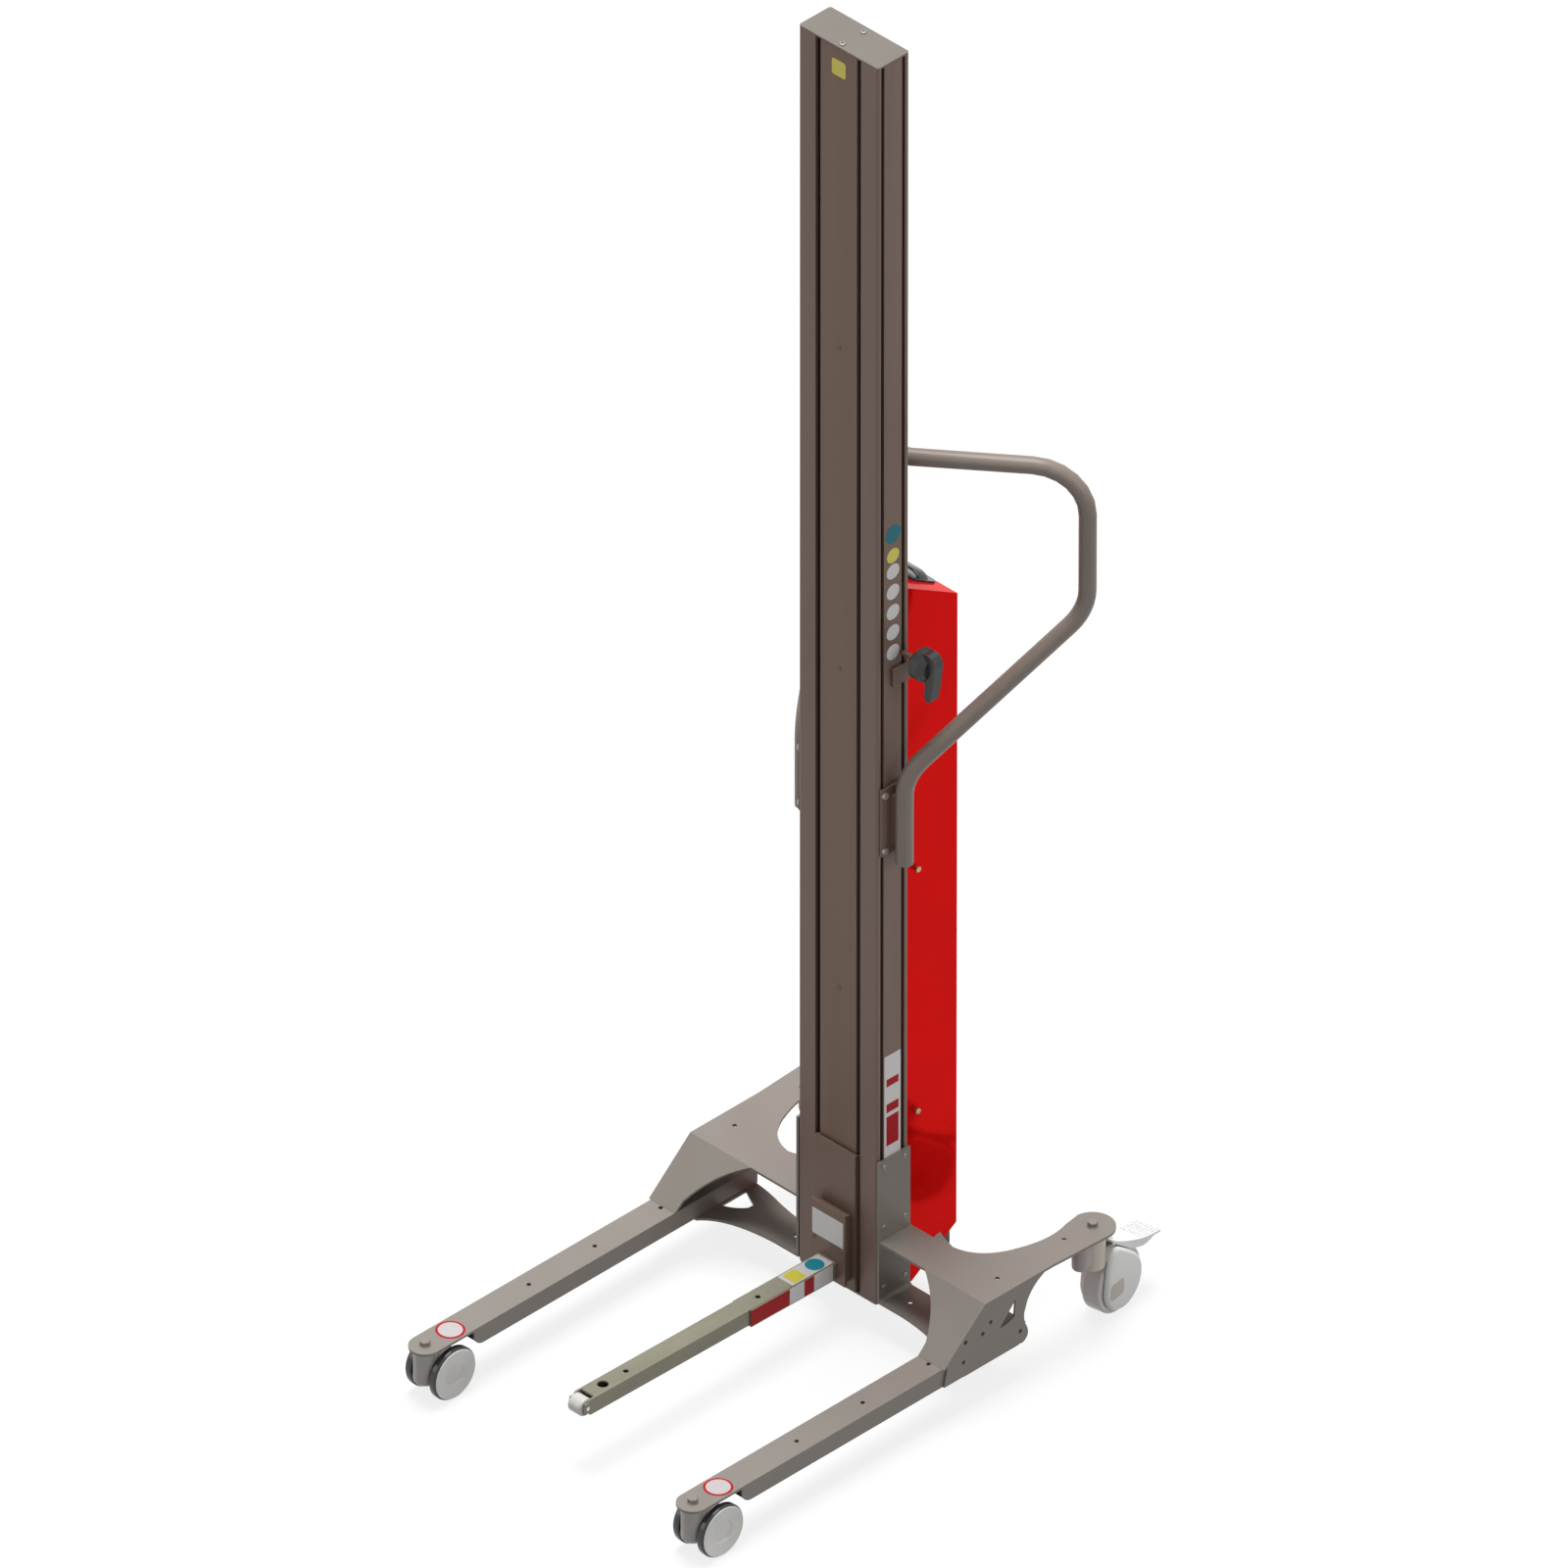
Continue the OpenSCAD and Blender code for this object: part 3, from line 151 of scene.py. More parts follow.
def lamp(name, place, aim, size, watts):
    """A round area lamp that points from its place at aim."""
    data = bpy.data.lights.new(name, "AREA")
    data.shape = "DISK"
    data.size = size
    data.energy = watts
    it = bpy.data.objects.new(name, data)
    bpy.context.scene.collection.objects.link(it)
    it.location = place
    it.rotation_euler = (Vector(aim) - Vector(place)).to_track_quat("-Z", "Y").to_euler()


lamp("overhead", place=(-3.2, 1.6, 24.8), aim=(0, 0, 0.8), size=14.4, watts=7000)
lamp("front_fill", place=(-7.0, -10.0, 4.6), aim=(0, 0, 0.9), size=5.0, watts=90)
lamp("side_fill", place=(11.0, 3.0, 4.8), aim=(0, 0, 0.9), size=5.0, watts=200)

# Mast. Extruded aluminium profile, anodised brown-grey, with fine lines drawn along its length.
# The cover strip is a second extrusion that lies fixed between the two long slots. Its colour
# is the profile's anodising painted darker and browner, as painted shade on its forward face.
nodes = frame["nodes"]


def finish(name, colour, roughness, metallic=0.0, shine=0.5, patch=0.06, grain=(900, 900, 900),
           grain_depth=0.00002, uneven=0.06, clear=0.0, scatter=0.0, mottle=(9, 9, 9)):
    """Surface whose colour, gloss and fine relief vary as a real one's do.

    The colour varies by patch over the broad mottle, and the roughness by uneven over the fine
    grain, which also stands up by grain_depth. Grain and mottle say how many there are in a metre.
    """
    it = bpy.data.materials.new(name)
    it.use_nodes = True
    tree = it.node_tree
    body = tree.nodes["Principled BSDF"]
    body.inputs["Metallic"].default_value = metallic
    body.inputs["Specular IOR Level"].default_value = shine
    body.inputs["Transmission Weight"].default_value = clear
    body.inputs["Subsurface Weight"].default_value = scatter
    body.inputs["Subsurface Scale"].default_value = 0.01
    place = tree.nodes.new("ShaderNodeTexCoord")
    stretch = tree.nodes.new("ShaderNodeMapping")
    stretch.inputs["Scale"].default_value = grain
    fine = tree.nodes.new("ShaderNodeTexNoise")
    fine.inputs["Scale"].default_value = 1.0
    fine.inputs["Detail"].default_value = 3.0
    spread = tree.nodes.new("ShaderNodeMapping")
    spread.inputs["Scale"].default_value = mottle
    broad = tree.nodes.new("ShaderNodeTexNoise")
    broad.inputs["Scale"].default_value = 1.0
    broad.inputs["Detail"].default_value = 4.0
    shades = tree.nodes.new("ShaderNodeValToRGB")
    for stop, share in zip(shades.color_ramp.elements, (1 - patch, 1 + patch)):
        stop.color = [min(1.0, part * share) for part in colour] + [1.0]
    shades.color_ramp.elements[0].position = 0.3
    shades.color_ramp.elements[1].position = 0.7
    gloss = tree.nodes.new("ShaderNodeMapRange")
    gloss.inputs["To Min"].default_value = max(0.02, roughness - uneven)
    gloss.inputs["To Max"].default_value = roughness + uneven
    relief = tree.nodes.new("ShaderNodeBump")
    relief.inputs["Distance"].default_value = grain_depth
    relief.inputs["Strength"].default_value = 1.0
    links = tree.links
    links.new(place.outputs["Object"], stretch.inputs["Vector"])
    links.new(place.outputs["Object"], spread.inputs["Vector"])
    links.new(stretch.outputs[0], fine.inputs["Vector"])
    links.new(spread.outputs[0], broad.inputs["Vector"])
    links.new(broad.outputs[0], shades.inputs["Fac"])
    links.new(shades.outputs["Color"], body.inputs["Base Color"])
    links.new(fine.outputs[0], gloss.inputs["Value"])
    links.new(gloss.outputs["Result"], body.inputs["Roughness"])
    links.new(fine.outputs[0], relief.inputs["Height"])
    links.new(relief.outputs["Normal"], body.inputs["Normal"])
    return it


def dress(material, *names):
    """Gives CAD pieces a finish in place of their plain one."""
    for name in names:
        mesh = nodes[name].data
        mesh.materials.clear()
        mesh.materials.append(material)


drawn = {"metallic": 0.10, "shine": 0.25, "grain": (1400, 1400, 12), "grain_depth": 0.000012,
         "mottle": (30, 30, 1.5), "patch": 0.05}
anodised = finish("brown_anodised", (0.222, 0.150, 0.120), 0.42, **drawn)
# Painted shade: the strip is the profile's colour made darker and browner, as its forward face
# looks.
strip_painted_shade = finish("strip_painted_shade", (0.210, 0.134, 0.098), 0.42, **drawn)
dress(anodised, "mast_profile")
dress(strip_painted_shade, "mast_cover_strip")

# Sheet-metal parts. Cut, bent and welded steel with broken edges and a brown-grey powder coat,
# which has a fine orange peel. What rides in the mast and holds the handle is browner, the
# handle's tube a little warmer, and the cap screwed on the mast's end darker.
broken_edge = 0.0006
tube_edge = 0.0004
weld = 0.00002
smooth_below = math.radians(32)


def round_off(bm, edges, radius, segments, clamp_overlap=False):
    """Rounds the given edges, as a file, a mould or a press leaves them."""
    bmesh.ops.bevel(bm, geom=edges, offset=radius, segments=segments, profile=0.5,
                    affect="EDGES", clamp_overlap=clamp_overlap, material=-1)


def sharp_edges(bm, degrees):
    """Edges where two faces meet at more than so many degrees."""
    least = math.radians(degrees)
    return [e for e in bm.edges if e.is_manifold and e.calc_face_angle(0) > least]


def grow(name, bm, material, body):
    """Turns a finished bmesh into a piece that rides on a body."""
    bmesh.ops.recalc_face_normals(bm, faces=bm.faces)
    for face in bm.faces:
        face.smooth = True
    mesh = bpy.data.meshes.new(name)
    bm.to_mesh(mesh)
    bm.free()
    mesh.set_sharp_from_angle(angle=smooth_below)
    mesh.materials.append(material)
    it = bpy.data.objects.new(name, mesh)
    bpy.context.scene.collection.objects.link(it)
    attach(it, body)
    return it


def eased(node, radius, material, sharper_than=35, segments=2):
    """A copy of a CAD piece with its edges rounded as on the real one, which stands for it."""
    bm = bmesh.new()
    bm.from_mesh(nodes[node].data)
    bmesh.ops.remove_doubles(bm, verts=bm.verts, dist=weld)
    bmesh.ops.dissolve_limit(bm, angle_limit=math.radians(1), verts=bm.verts, edges=bm.edges)
    round_off(bm, sharp_edges(bm, sharper_than), radius, segments, clamp_overlap=True)
    bmesh.ops.triangulate(bm, faces=[f for f in bm.faces if len(f.verts) > 4])
    piece = grow(node + "_eased", bm, material, nodes[node]["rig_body"])
    flat = piece.modifiers.new("flat_faces", "WEIGHTED_NORMAL")
    flat.keep_sharp = True
    flat.weight = 100
    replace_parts(piece, node)


orange_peel = {"shine": 0.25, "grain": (700, 700, 700), "grain_depth": 0.00003, "patch": 0.04}
brown_steel = finish("brown_steel", (0.208, 0.137, 0.105), 0.42, metallic=0.10, **orange_peel)
powder_coat = finish("brown_powder_coat", (0.262, 0.236, 0.210), 0.40, metallic=0.05, **orange_peel)
tube_coat = finish("tube_coat", (0.268, 0.224, 0.192), 0.40, metallic=0.05, **orange_peel)
cap_coat = finish("cap_coat", (0.205, 0.182, 0.160), 0.40, metallic=0.05, **orange_peel)
for part in ("boom_bracket", "carriage_frame", "lever_mount", "handle_bracket_right",
             "handle_bracket_left"):
    eased(part, broken_edge, brown_steel)
for part in ("leg_right", "leg_left", "top_plate_right", "top_plate_left", "side_bracket_right",
             "side_bracket_left"):
    eased(part, broken_edge, powder_coat)
eased("handle_tube", tube_edge, tube_coat, sharper_than=60)
eased("mast_cap", broken_edge, cap_coat)
dress(powder_coat, "mast_foot_plate", "handle_saddle", "drive_chassis")

# Shafts, pins and bolts that keep the solids' own shape. Turned steel, zinc-plated and slightly
# uneven in its gloss; the handle's bolts are duller and browner.
bright_steel = finish("zinc_plated_steel", (0.60, 0.58, 0.55), 0.30, metallic=1.0,
                      grain=(1500, 1500, 1500), grain_depth=0.00001)
dull_screw = finish("dull_screw", (0.34, 0.31, 0.29), 0.40, metallic=0.7)
dress(bright_steel, "belt_clamps", "roller_pins", "boom_tip_pin", "drive_shaft", "idler_shaft")
dress(dull_screw, "handle_bolts")

# Drive housing. One moulded shell of glossy red plastic with soft edges, which is bolted to the
# chassis through its two sides.
cover_edge = 0.0025
red_gloss = finish("red_gloss", (0.80, 0.004, 0.003), 0.09, metallic=0.35, shine=0.0,
                   grain=(60, 60, 60), grain_depth=0.00002, patch=0.03, uneven=0.03)
eased("drive_cover", cover_edge, red_gloss, segments=4)

# Grip on the housing's sloping lid. A low bow on a base plate with round corners, moulded in one
# piece of glossy black plastic and seated flat on the slope.
mast_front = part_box("mast_profile")[0].y
lid_slope = math.radians(30)
lid_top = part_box("drive_cover")[1].z
lid_start = 0.0603
grip_back = 0.131
bow_half, bow_high, bow_edge = 0.034, 0.0110, 0.002
hollow_half, hollow_high = 0.029, 0.0075
bow_steps = 12
bow_side = 0.011
base_long, base_wide, base_thick = 0.056, 0.072, 0.0026
base_corner = 0.012
base_lift = 0.0014


def pulled(bm, step):
    """Pulls a flat bmesh out into a solid along step, and gives the vertices at its far end."""
    geom = bmesh.ops.extrude_face_region(bm, geom=bm.faces[:])["geom"]
    far = [g for g in geom if isinstance(g, bmesh.types.BMVert)]
    bmesh.ops.translate(bm, verts=far, vec=step)
    return far


def slab(outline, x0, x1, rounding=0.0):
    """A plate with an outline in Y and Z that reaches from x0 to x1, where its edge is rounded."""
    bm = bmesh.new()
    bm.faces.new([bm.verts.new((x0, y, z)) for y, z in outline])
    far = pulled(bm, (x1 - x0, 0, 0))
    if rounding:
        round_off(bm, [e for e in bm.edges if all(v in far for v in e.verts)], rounding, 5)
    return bm


def flat_plate(wide, long, thick, corner=0.0, segments=6):
    """A plate round the origin, with its four corners rounded."""
    bm = bmesh.new()
    bmesh.ops.create_cube(bm, size=1)
    bmesh.ops.scale(bm, verts=bm.verts, vec=(wide, long, thick))
    if corner:
        upright = [e for e in bm.edges if abs(e.verts[0].co.z - e.verts[1].co.z) > thick / 2]
        round_off(bm, upright, corner, segments)
    return bm


def joined(parts):
    """One bmesh that holds all of the given ones."""
    whole = bmesh.new()
    for part in parts:
        held = bpy.data.meshes.new("held")
        part.to_mesh(held)
        part.free()
        whole.from_mesh(held)
        bpy.data.meshes.remove(held)
    return whole


def laid(across, along, out, place):
    """Matrix that lays a piece's own X, Y and Z along three ways, with its origin at place."""
    return Matrix.Translation(place) @ Matrix((across, along, out)).transposed().to_4x4()


def bow_line(half_long, rise, way):
    """Points of a flat-topped bow from one end to the other, forwards or backwards."""
    line = [way * half_long * (i / bow_steps - 1) for i in range(2 * bow_steps + 1)]
    return [(x, rise * (1 - abs(x / half_long) ** 4)) for x in line]


bow = slab(bow_line(bow_half, bow_high, 1) + bow_line(hollow_half, hollow_high, -1),
           -bow_side, bow_side)
round_off(bow, sharp_edges(bow, 57), bow_edge, 3)
base = flat_plate(base_long, base_wide, base_thick, base_corner, 8)
bmesh.ops.translate(base, verts=base.verts, vec=(0, 0, base_lift))
grip = joined([bow, base])
up_lid = Vector((0, -math.cos(lid_slope), math.sin(lid_slope)))
off_lid = Vector((0, math.sin(lid_slope), math.cos(lid_slope)))
grip_place = (0, mast_front + grip_back, lid_top - math.tan(lid_slope) * (grip_back - lid_start))
bmesh.ops.transform(grip, verts=grip.verts,
                    matrix=laid(up_lid, Vector((1, 0, 0)), off_lid, grip_place))
grip_black = finish("grip_black", (0.018, 0.018, 0.020), 0.14)
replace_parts(grow("cover_grip_bow", grip, grip_black, "frame"), "cover_grip")

# Housing bolts. Two on each side, each a round head on a short neck that stands off the shell.
# Turned steel with a yellow passivated coat.
bolt_line = [(0, 0), (0.0026, 0), (0.0026, 0.0048), (0.0044, 0.0048), (0.0044, 0.0066),
             (0.0036, 0.0076), (0, 0.0078)]
bolt_back = 0.082
bolt_heights = (0.333, 0.734)
cover_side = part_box("drive_cover")[1].x
pole_weld = 0.00001


def seated(bm, place, out):
    """Stands a bmesh at place, with its own Z pointing out."""
    seat = Matrix.Translation(place) @ Vector(out).to_track_quat("Z", "Y").to_matrix().to_4x4()
    bmesh.ops.transform(bm, verts=bm.verts, matrix=seat)
    return bm


def turned(profile, place, out, segments=48):
    """A body of revolution through (radius, height) pairs, standing at place and pointing out."""
    bm = bmesh.new()
    verts = [bm.verts.new((radius, 0, height)) for radius, height in profile]
    edges = [bm.edges.new(pair) for pair in zip(verts, verts[1:])]
    bmesh.ops.spin(bm, geom=verts + edges, cent=(0, 0, 0), axis=(0, 0, 1), angle=2 * math.pi,
                   steps=segments, use_merge=True)
    bmesh.ops.remove_doubles(bm, verts=bm.verts, dist=pole_weld)
    return seated(bm, place, out)


bolts = [turned(bolt_line, (s * cover_side, mast_front + bolt_back, z), (s, 0, 0), 24)
         for s in (1, -1) for z in bolt_heights]
brass = finish("yellow_passivated", (0.46, 0.37, 0.20), 0.34, metallic=0.9)
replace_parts(grow("housing_bolts", joined(bolts), brass, "frame"), "cover_bolts")

# Clamping lever and guide rollers. Moulded black plastic with a fine grain; the rollers run in
# the mast's inner chambers.
black_plastic = finish("black_plastic", (0.020, 0.022, 0.021), 0.46, grain=(1200, 1200, 1200),
                       grain_depth=0.00004)
dress(black_plastic, "clamp_lever", "guide_roller_upper_right", "guide_roller_upper_left",
      "guide_roller_lower_right", "guide_roller_lower_left")

# Drive. Moulded battery cases, painted motor, gearbox and controller, and two rubber belts that
# run up the mast, all bought parts bolted inside the housing and the profile.
battery_case = finish("battery_case", (0.06, 0.065, 0.075), 0.5)
motor_paint = finish("motor_paint", (0.05, 0.05, 0.05), 0.45)
belt_rubber = finish("belt_rubber", (0.03, 0.03, 0.03), 0.7)
dress(battery_case, "battery_pack")
dress(motor_paint, "lift_motor", "lift_gearbox", "motor_controller")
dress(belt_rubber, "lift_belt_right", "lift_belt_left")

# Boom. A welded square tube and the folded channel under its root, both with a yellowish zinc
# finish that is streaked along their length. A pale moulded roller turns in the tube's tip.
boom_zinc = finish("yellow_zinc", (0.245, 0.230, 0.170), 0.36, metallic=0.20, shine=0.3,
                   grain=(1500, 90, 1500), grain_depth=0.00001, patch=0.08, mottle=(40, 12, 40))
roller_plastic = finish("roller_plastic", (0.60, 0.59, 0.57), 0.30)
dress(boom_zinc, "boom_tube", "boom_sleeve")
dress(roller_plastic, "tip_roller")

# Front casters. A grey-brown moulded body, which is a round stem with a neck to the axle, and two
# wheels with black rubber tyres and pale covers dished in the middle.
leg_x = (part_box("leg_right")[0].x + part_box("leg_right")[1].x) / 2
front_axle = (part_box("front_tyres_right")[0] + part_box("front_tyres_right")[1]) / 2
front_trail = 0.029
cover_out = 0.0175
cover_line = [(0, 0), (0.0345, 0), (0.0345, 0.0108), (0.0372, 0.0112), (0.0376, 0.0118),
              (0.0372, 0.0124), (0.0364, 0.0127), (0.0356, 0.0124), (0.0346, 0.0118),
              (0.0195, 0.0118), (0.0185, 0.0114), (0.0155, 0.0086), (0, 0.0086)]
stem_r, stem_edge = 0.0166, 0.0005
stem_foot = [(0, 0.027), (0.009, 0.0275), (0.0135, 0.0295), (0.016, 0.033), (stem_r, 0.037)]
neck_line = [(-front_trail, 0.034), (0, 0.028), (0.012, 0.040), (0, 0.056), (-front_trail, 0.078)]
neck_half = 0.012
neck_edge = 0.002
pale_plastic = finish("pale_plastic", (0.80, 0.79, 0.76), 0.30, scatter=0.1)
caster_grey = finish("caster_grey", (0.40, 0.375, 0.35), 0.34)
tyre_black = finish("tyre_rubber", (0.040, 0.038, 0.040), 0.16)
dress(tyre_black, "front_tyres_right", "front_tyres_left")
for s, label in ((1, "right"), (-1, "left")):
    covers = [turned(cover_line, (s * leg_x + m * cover_out, front_axle.y, front_axle.z),
                     (m, 0, 0), 64) for m in (-1, 1)]
    covers = grow("wheel_covers_" + label, joined(covers), pale_plastic, "front_wheels_" + label)
    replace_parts(covers, "front_wheel_hubs_" + label)
    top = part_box("front_caster_body_" + label)[1].z
    stem_top = [(stem_r, top - stem_edge), (stem_r - stem_edge, top), (0, top)]
    stem = turned(stem_foot + stem_top, (s * leg_x, front_axle.y - front_trail, 0), (0, 0, 1))
    neck = slab([(front_axle.y + y, z) for y, z in neck_line], s * leg_x - neck_half,
                s * leg_x + neck_half, neck_edge)
    stem = grow("front_stem_" + label, joined([stem, neck]), caster_grey, "front_caster_" + label)
    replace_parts(stem, "front_caster_body_" + label)

# Kingpins. The pin of each caster ends in a hexagon head on a washer, over the leg's end in front
# and over the caster's eye behind. Dull brown steel, screwed down from above.
king_steel = finish("dull_steel", (0.29, 0.262, 0.24), 0.36, metallic=0.6)
swivel_y = mast_front + 0.232
head_line = [(0, 0.0012), (0.0075, 0.0012), (0.0075, 0.0064), (0.0066, 0.0072), (0, 0.0072)]
washer_line = [(0, 0), (0.0082, 0), (0.0082, 0.0009), (0.0078, 0.0012), (0, 0.0012)]
kingpins = []
for s in (1, -1):
    for y, z in ((front_axle.y - front_trail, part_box("leg_right")[1].z),
                 (swivel_y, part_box("top_plate_right")[1].z)):
        kingpins += [turned(head_line, (s * leg_x, y, z), (0, 0, 1), 6),
                     turned(washer_line, (s * leg_x, y, z), (0, 0, 1))]
kingpins = grow("kingpin_heads", joined(kingpins), king_steel, "frame")
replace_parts(kingpins, "caster_bolts")

# Rear casters. Moulded parts clipped together: a cream boss that holds the kingpin, a brown-grey
# brake housing in front of it, two side shells of a milky plastic, and a greyer wheel. The light
# block of the axle shows in each shell.
rear_trail = 0.044
rear_axle_z = 0.050
shell_r = 0.042
shell_in, shell_out, shell_edge = 0.0172, 0.0245, 0.0058
roof_in, roof_out = 0.0085, 0.0173
nose_half, nose_y, nose_back = 0.012, -0.029, -0.010
nose_low, nose_high = 0.105, 0.145
nose_low_edge, nose_high_edge = 0.005, 0.0015
boss_r, boss_edge = 0.0183, 0.0006
block_y, block_z = 0.024, 0.049
block_dy, block_dz, block_corner = 0.009, 0.006, 0.007
block_in, block_out, block_edge = 0.024, 0.0250, 0.0006
turned_in = math.radians(10)
hair = 0.00001
rear_home = {}
for s in (1, -1):
    swivelled = Matrix.Rotation(s * turned_in, 4, "Z")
    rear_home[s] = Matrix.Translation((s * leg_x, swivel_y, 0)) @ swivelled


def arc(y, z, radius, start, end, steps):
    """Points in Y and Z on an arc, in degrees from +Y towards +Z."""
    turns = [math.radians(start + (end - start) * i / steps) for i in range(steps + 1)]
    return [(y + radius * math.cos(turn), z + radius * math.sin(turn)) for turn in turns]


ridge = [(0.010, 0.100), (0.0135, 0.108), (0.018, 0.1135), (0.0235, 0.116), (0.029, 0.1155),
         (0.0345, 0.1125), (0.040, 0.1085), (0.048, 0.1025)]
shell_line = arc(rear_trail, rear_axle_z, shell_r, 38, -180, 44)
shell_line += [(0.0035, 0.064), (0.0055, 0.078), (0.0075, 0.090)] + ridge
shell_line += [(0.0605, 0.0925), (0.070, 0.084)]
roof_line = ridge + [(0.047, 0.1015), (0.039, 0.1055), (0.028, 0.1125), (0.023, 0.113),
                     (0.019, 0.111), (0.0155, 0.106), (0.013, 0.100)]
boss_foot = [(0, 0.094), (0.0155, 0.094), (0.0175, 0.0955), (boss_r, 0.098)]
nose_line = [(-nose_half, nose_back)] + arc(0, nose_y, nose_half, -180, 0, 16)
nose_line += [(nose_half, nose_back)]
block_line = []
for back, up, start in ((1, 1, 0), (-1, 1, 90), (-1, -1, 180), (1, -1, 270)):
    block_line += arc(block_y + back * block_dy, block_z + up * block_dz, block_corner, start,
                      start + 90, 6)

milky = finish("milky_plastic", (0.94, 0.94, 0.93), 0.14, clear=0.14)
cream = finish("cream_plastic", (0.66, 0.60, 0.50), 0.32)
axle_cream = finish("axle_block", (0.52, 0.46, 0.40), 0.25)
brake_grey = finish("brake_housing", (0.40, 0.355, 0.335), 0.36)
clear_tyre = finish("clear_tyre", (0.82, 0.80, 0.785), 0.20, clear=0.2)
dress(clear_tyre, "rear_wheel_right", "rear_wheel_left")
for s, label in ((1, "right"), (-1, "left")):
    shells = [slab(shell_line, m * shell_in, m * shell_out, shell_edge) for m in (-1, 1)]
    shells += [slab(roof_line, m * roof_in, m * roof_out) for m in (-1, 1)]
    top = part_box("rear_caster_body_" + label)[1].z
    boss_top = [(boss_r, top - boss_edge), (boss_r - boss_edge, top), (0, top)]
    boss = turned(boss_foot + boss_top, (0, 0, 0), (0, 0, 1))
    nose = bmesh.new()
    nose.faces.new([nose.verts.new((x, y, nose_low)) for x, y in nose_line])
    pulled(nose, (0, 0, nose_high - nose_low))
    for height, rounding in ((nose_low, nose_low_edge), (nose_high, nose_high_edge)):
        rim = [e for e in nose.edges if all(abs(v.co.z - height) < hair for v in e.verts)]
        round_off(nose, rim, rounding, 4)
    blocks = joined([slab(block_line, m * block_in, m * block_out, block_edge) for m in (-1, 1)])
    for name, bm, material, slot, node in (
            ("rear_shells_", joined(shells), milky, "pale_plastic", "rear_caster_body_"),
            ("rear_boss_", boss, cream, "pale_plastic", "rear_caster_body_"),
            ("brake_nose_", nose, brake_grey, "pale_plastic", "rear_caster_body_"),
            ("rear_axle_blocks_", blocks, axle_cream, "bright_steel", "rear_axle_")):
        bmesh.ops.transform(bm, verts=bm.verts, matrix=rear_home[s])
        piece = grow(name + label, bm, material, "rear_caster_" + label)
        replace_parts(piece, node + label)

# Brake pedals. White plastic, moulded in one piece: a bowed plate on a hub, a rib along each
# side, and cross bars between more ribs, which make the grid of the tread.
white_plastic = finish("white_plastic", (0.84, 0.84, 0.84), 0.28)
pedal_bend = ((0.0215, 0.1295), (0.070, 0.0955), (0.132, 0.085))
pedal_steps = 20
pedal_thick = 0.0035
pedal_edge = 0.0004
hinge_half, widening = 0.018, 0.003
widening_start, widening_long = 0.055, 0.035
hub_line = [(0, 0), (0.0042, 0), (0.0042, 0.015), (0, 0.015)]
hub_place = (-0.0075, 0.034, 0.120)
rib_in, rib_out, rib_below = 0.0150, 0.0178, 0.001
rib_start, rib_end = 0.022, 0.131
rib_under =[(0.1305, 0.0815), (0.105, 0.0775), (0.094, 0.0785), (0.083, 0.0825),
             (0.066, 0.0905), (0.056, 0.0985), (0.044, 0.1075), (0.030, 0.1185),
             (0.0225, 0.1205)]
grid_start, grid_step, grid_bars = 0.64, 0.035, 9
grid_high, grid_low = 0.0012, 0.001
grid_pitch, grid_half = 0.0052, 0.0009
bar_short_by, bar_long, bar_high = 0.005, 0.0016, 0.0022


def pedal_top(t):
    """Point on the bowed top of the pedal, in Y and Z, from the hinge at 0 to the tip at 1."""
    hinge, bend, tip = (1 - t) ** 2, 2 * t * (1 - t), t * t
    return tuple(hinge * p + bend * q + tip * r for p, q, r in zip(*pedal_bend))


def pedal_half(y):
    """Half the pedal's width, which grows between the hinge and the tread."""
    return hinge_half + widening * min(1.0, max(0.0, (y - widening_start) / widening_long))


pedal_line = [pedal_top(i / pedal_steps) for i in range(pedal_steps + 1)]
grid_line = [pedal_top(grid_start + i * grid_step) for i in range(grid_bars + 2)]
for s, label in ((1, "right"), (-1, "left")):
    plate = bmesh.new()
    rows = [[plate.verts.new((m * pedal_half(y), y, z)) for m in (-1, 1)] for y, z in pedal_line]
    for a, b in zip(rows, rows[1:]):
        plate.faces.new((a[0], a[1], b[1], b[0]))
    pulled(plate, (0, 0, -pedal_thick))
    parts = [plate, turned(hub_line, hub_place, (1, 0, 0), 24)]
    rib = [(y, z - rib_below) for y, z in pedal_line if rib_start < y < rib_end] + rib_under
    parts += [slab(rib, m * rib_in, m * rib_out) for m in (-1, 1)]
    tread = [(y, z + grid_high) for y, z in grid_line]
    tread += [(y, z - grid_low) for y, z in grid_line[::-1]]
    parts += [slab(tread, x - grid_half, x + grid_half)
              for x in [grid_pitch * i for i in range(-3, 4)]]
    for y, z in grid_line[1:-1]:
        bar = flat_plate(2 * pedal_half(y) - bar_short_by, bar_long, bar_high)
        bmesh.ops.translate(bar, verts=bar.verts, vec=(0, y, z))
        parts.append(bar)
    pedal = joined(parts)
    round_off(pedal, sharp_edges(pedal, 50), pedal_edge, 2)
    bmesh.ops.transform(pedal, verts=pedal.verts, matrix=rear_home[s])
    pedal = grow("pedal_" + label, pedal, white_plastic, "brake_pedal_" + label)
    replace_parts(pedal, "brake_pedal_" + label)

# Screws with a low round head and a hexagon socket: in the mast's grooves, in the cover strip,
# on the cap and on the boom bracket. Each head is turned, its edge rounded and its socket pressed.
mast_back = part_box("mast_profile")[1].y
mast_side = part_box("mast_profile")[1].x
mast_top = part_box("mast_cap")[1].z


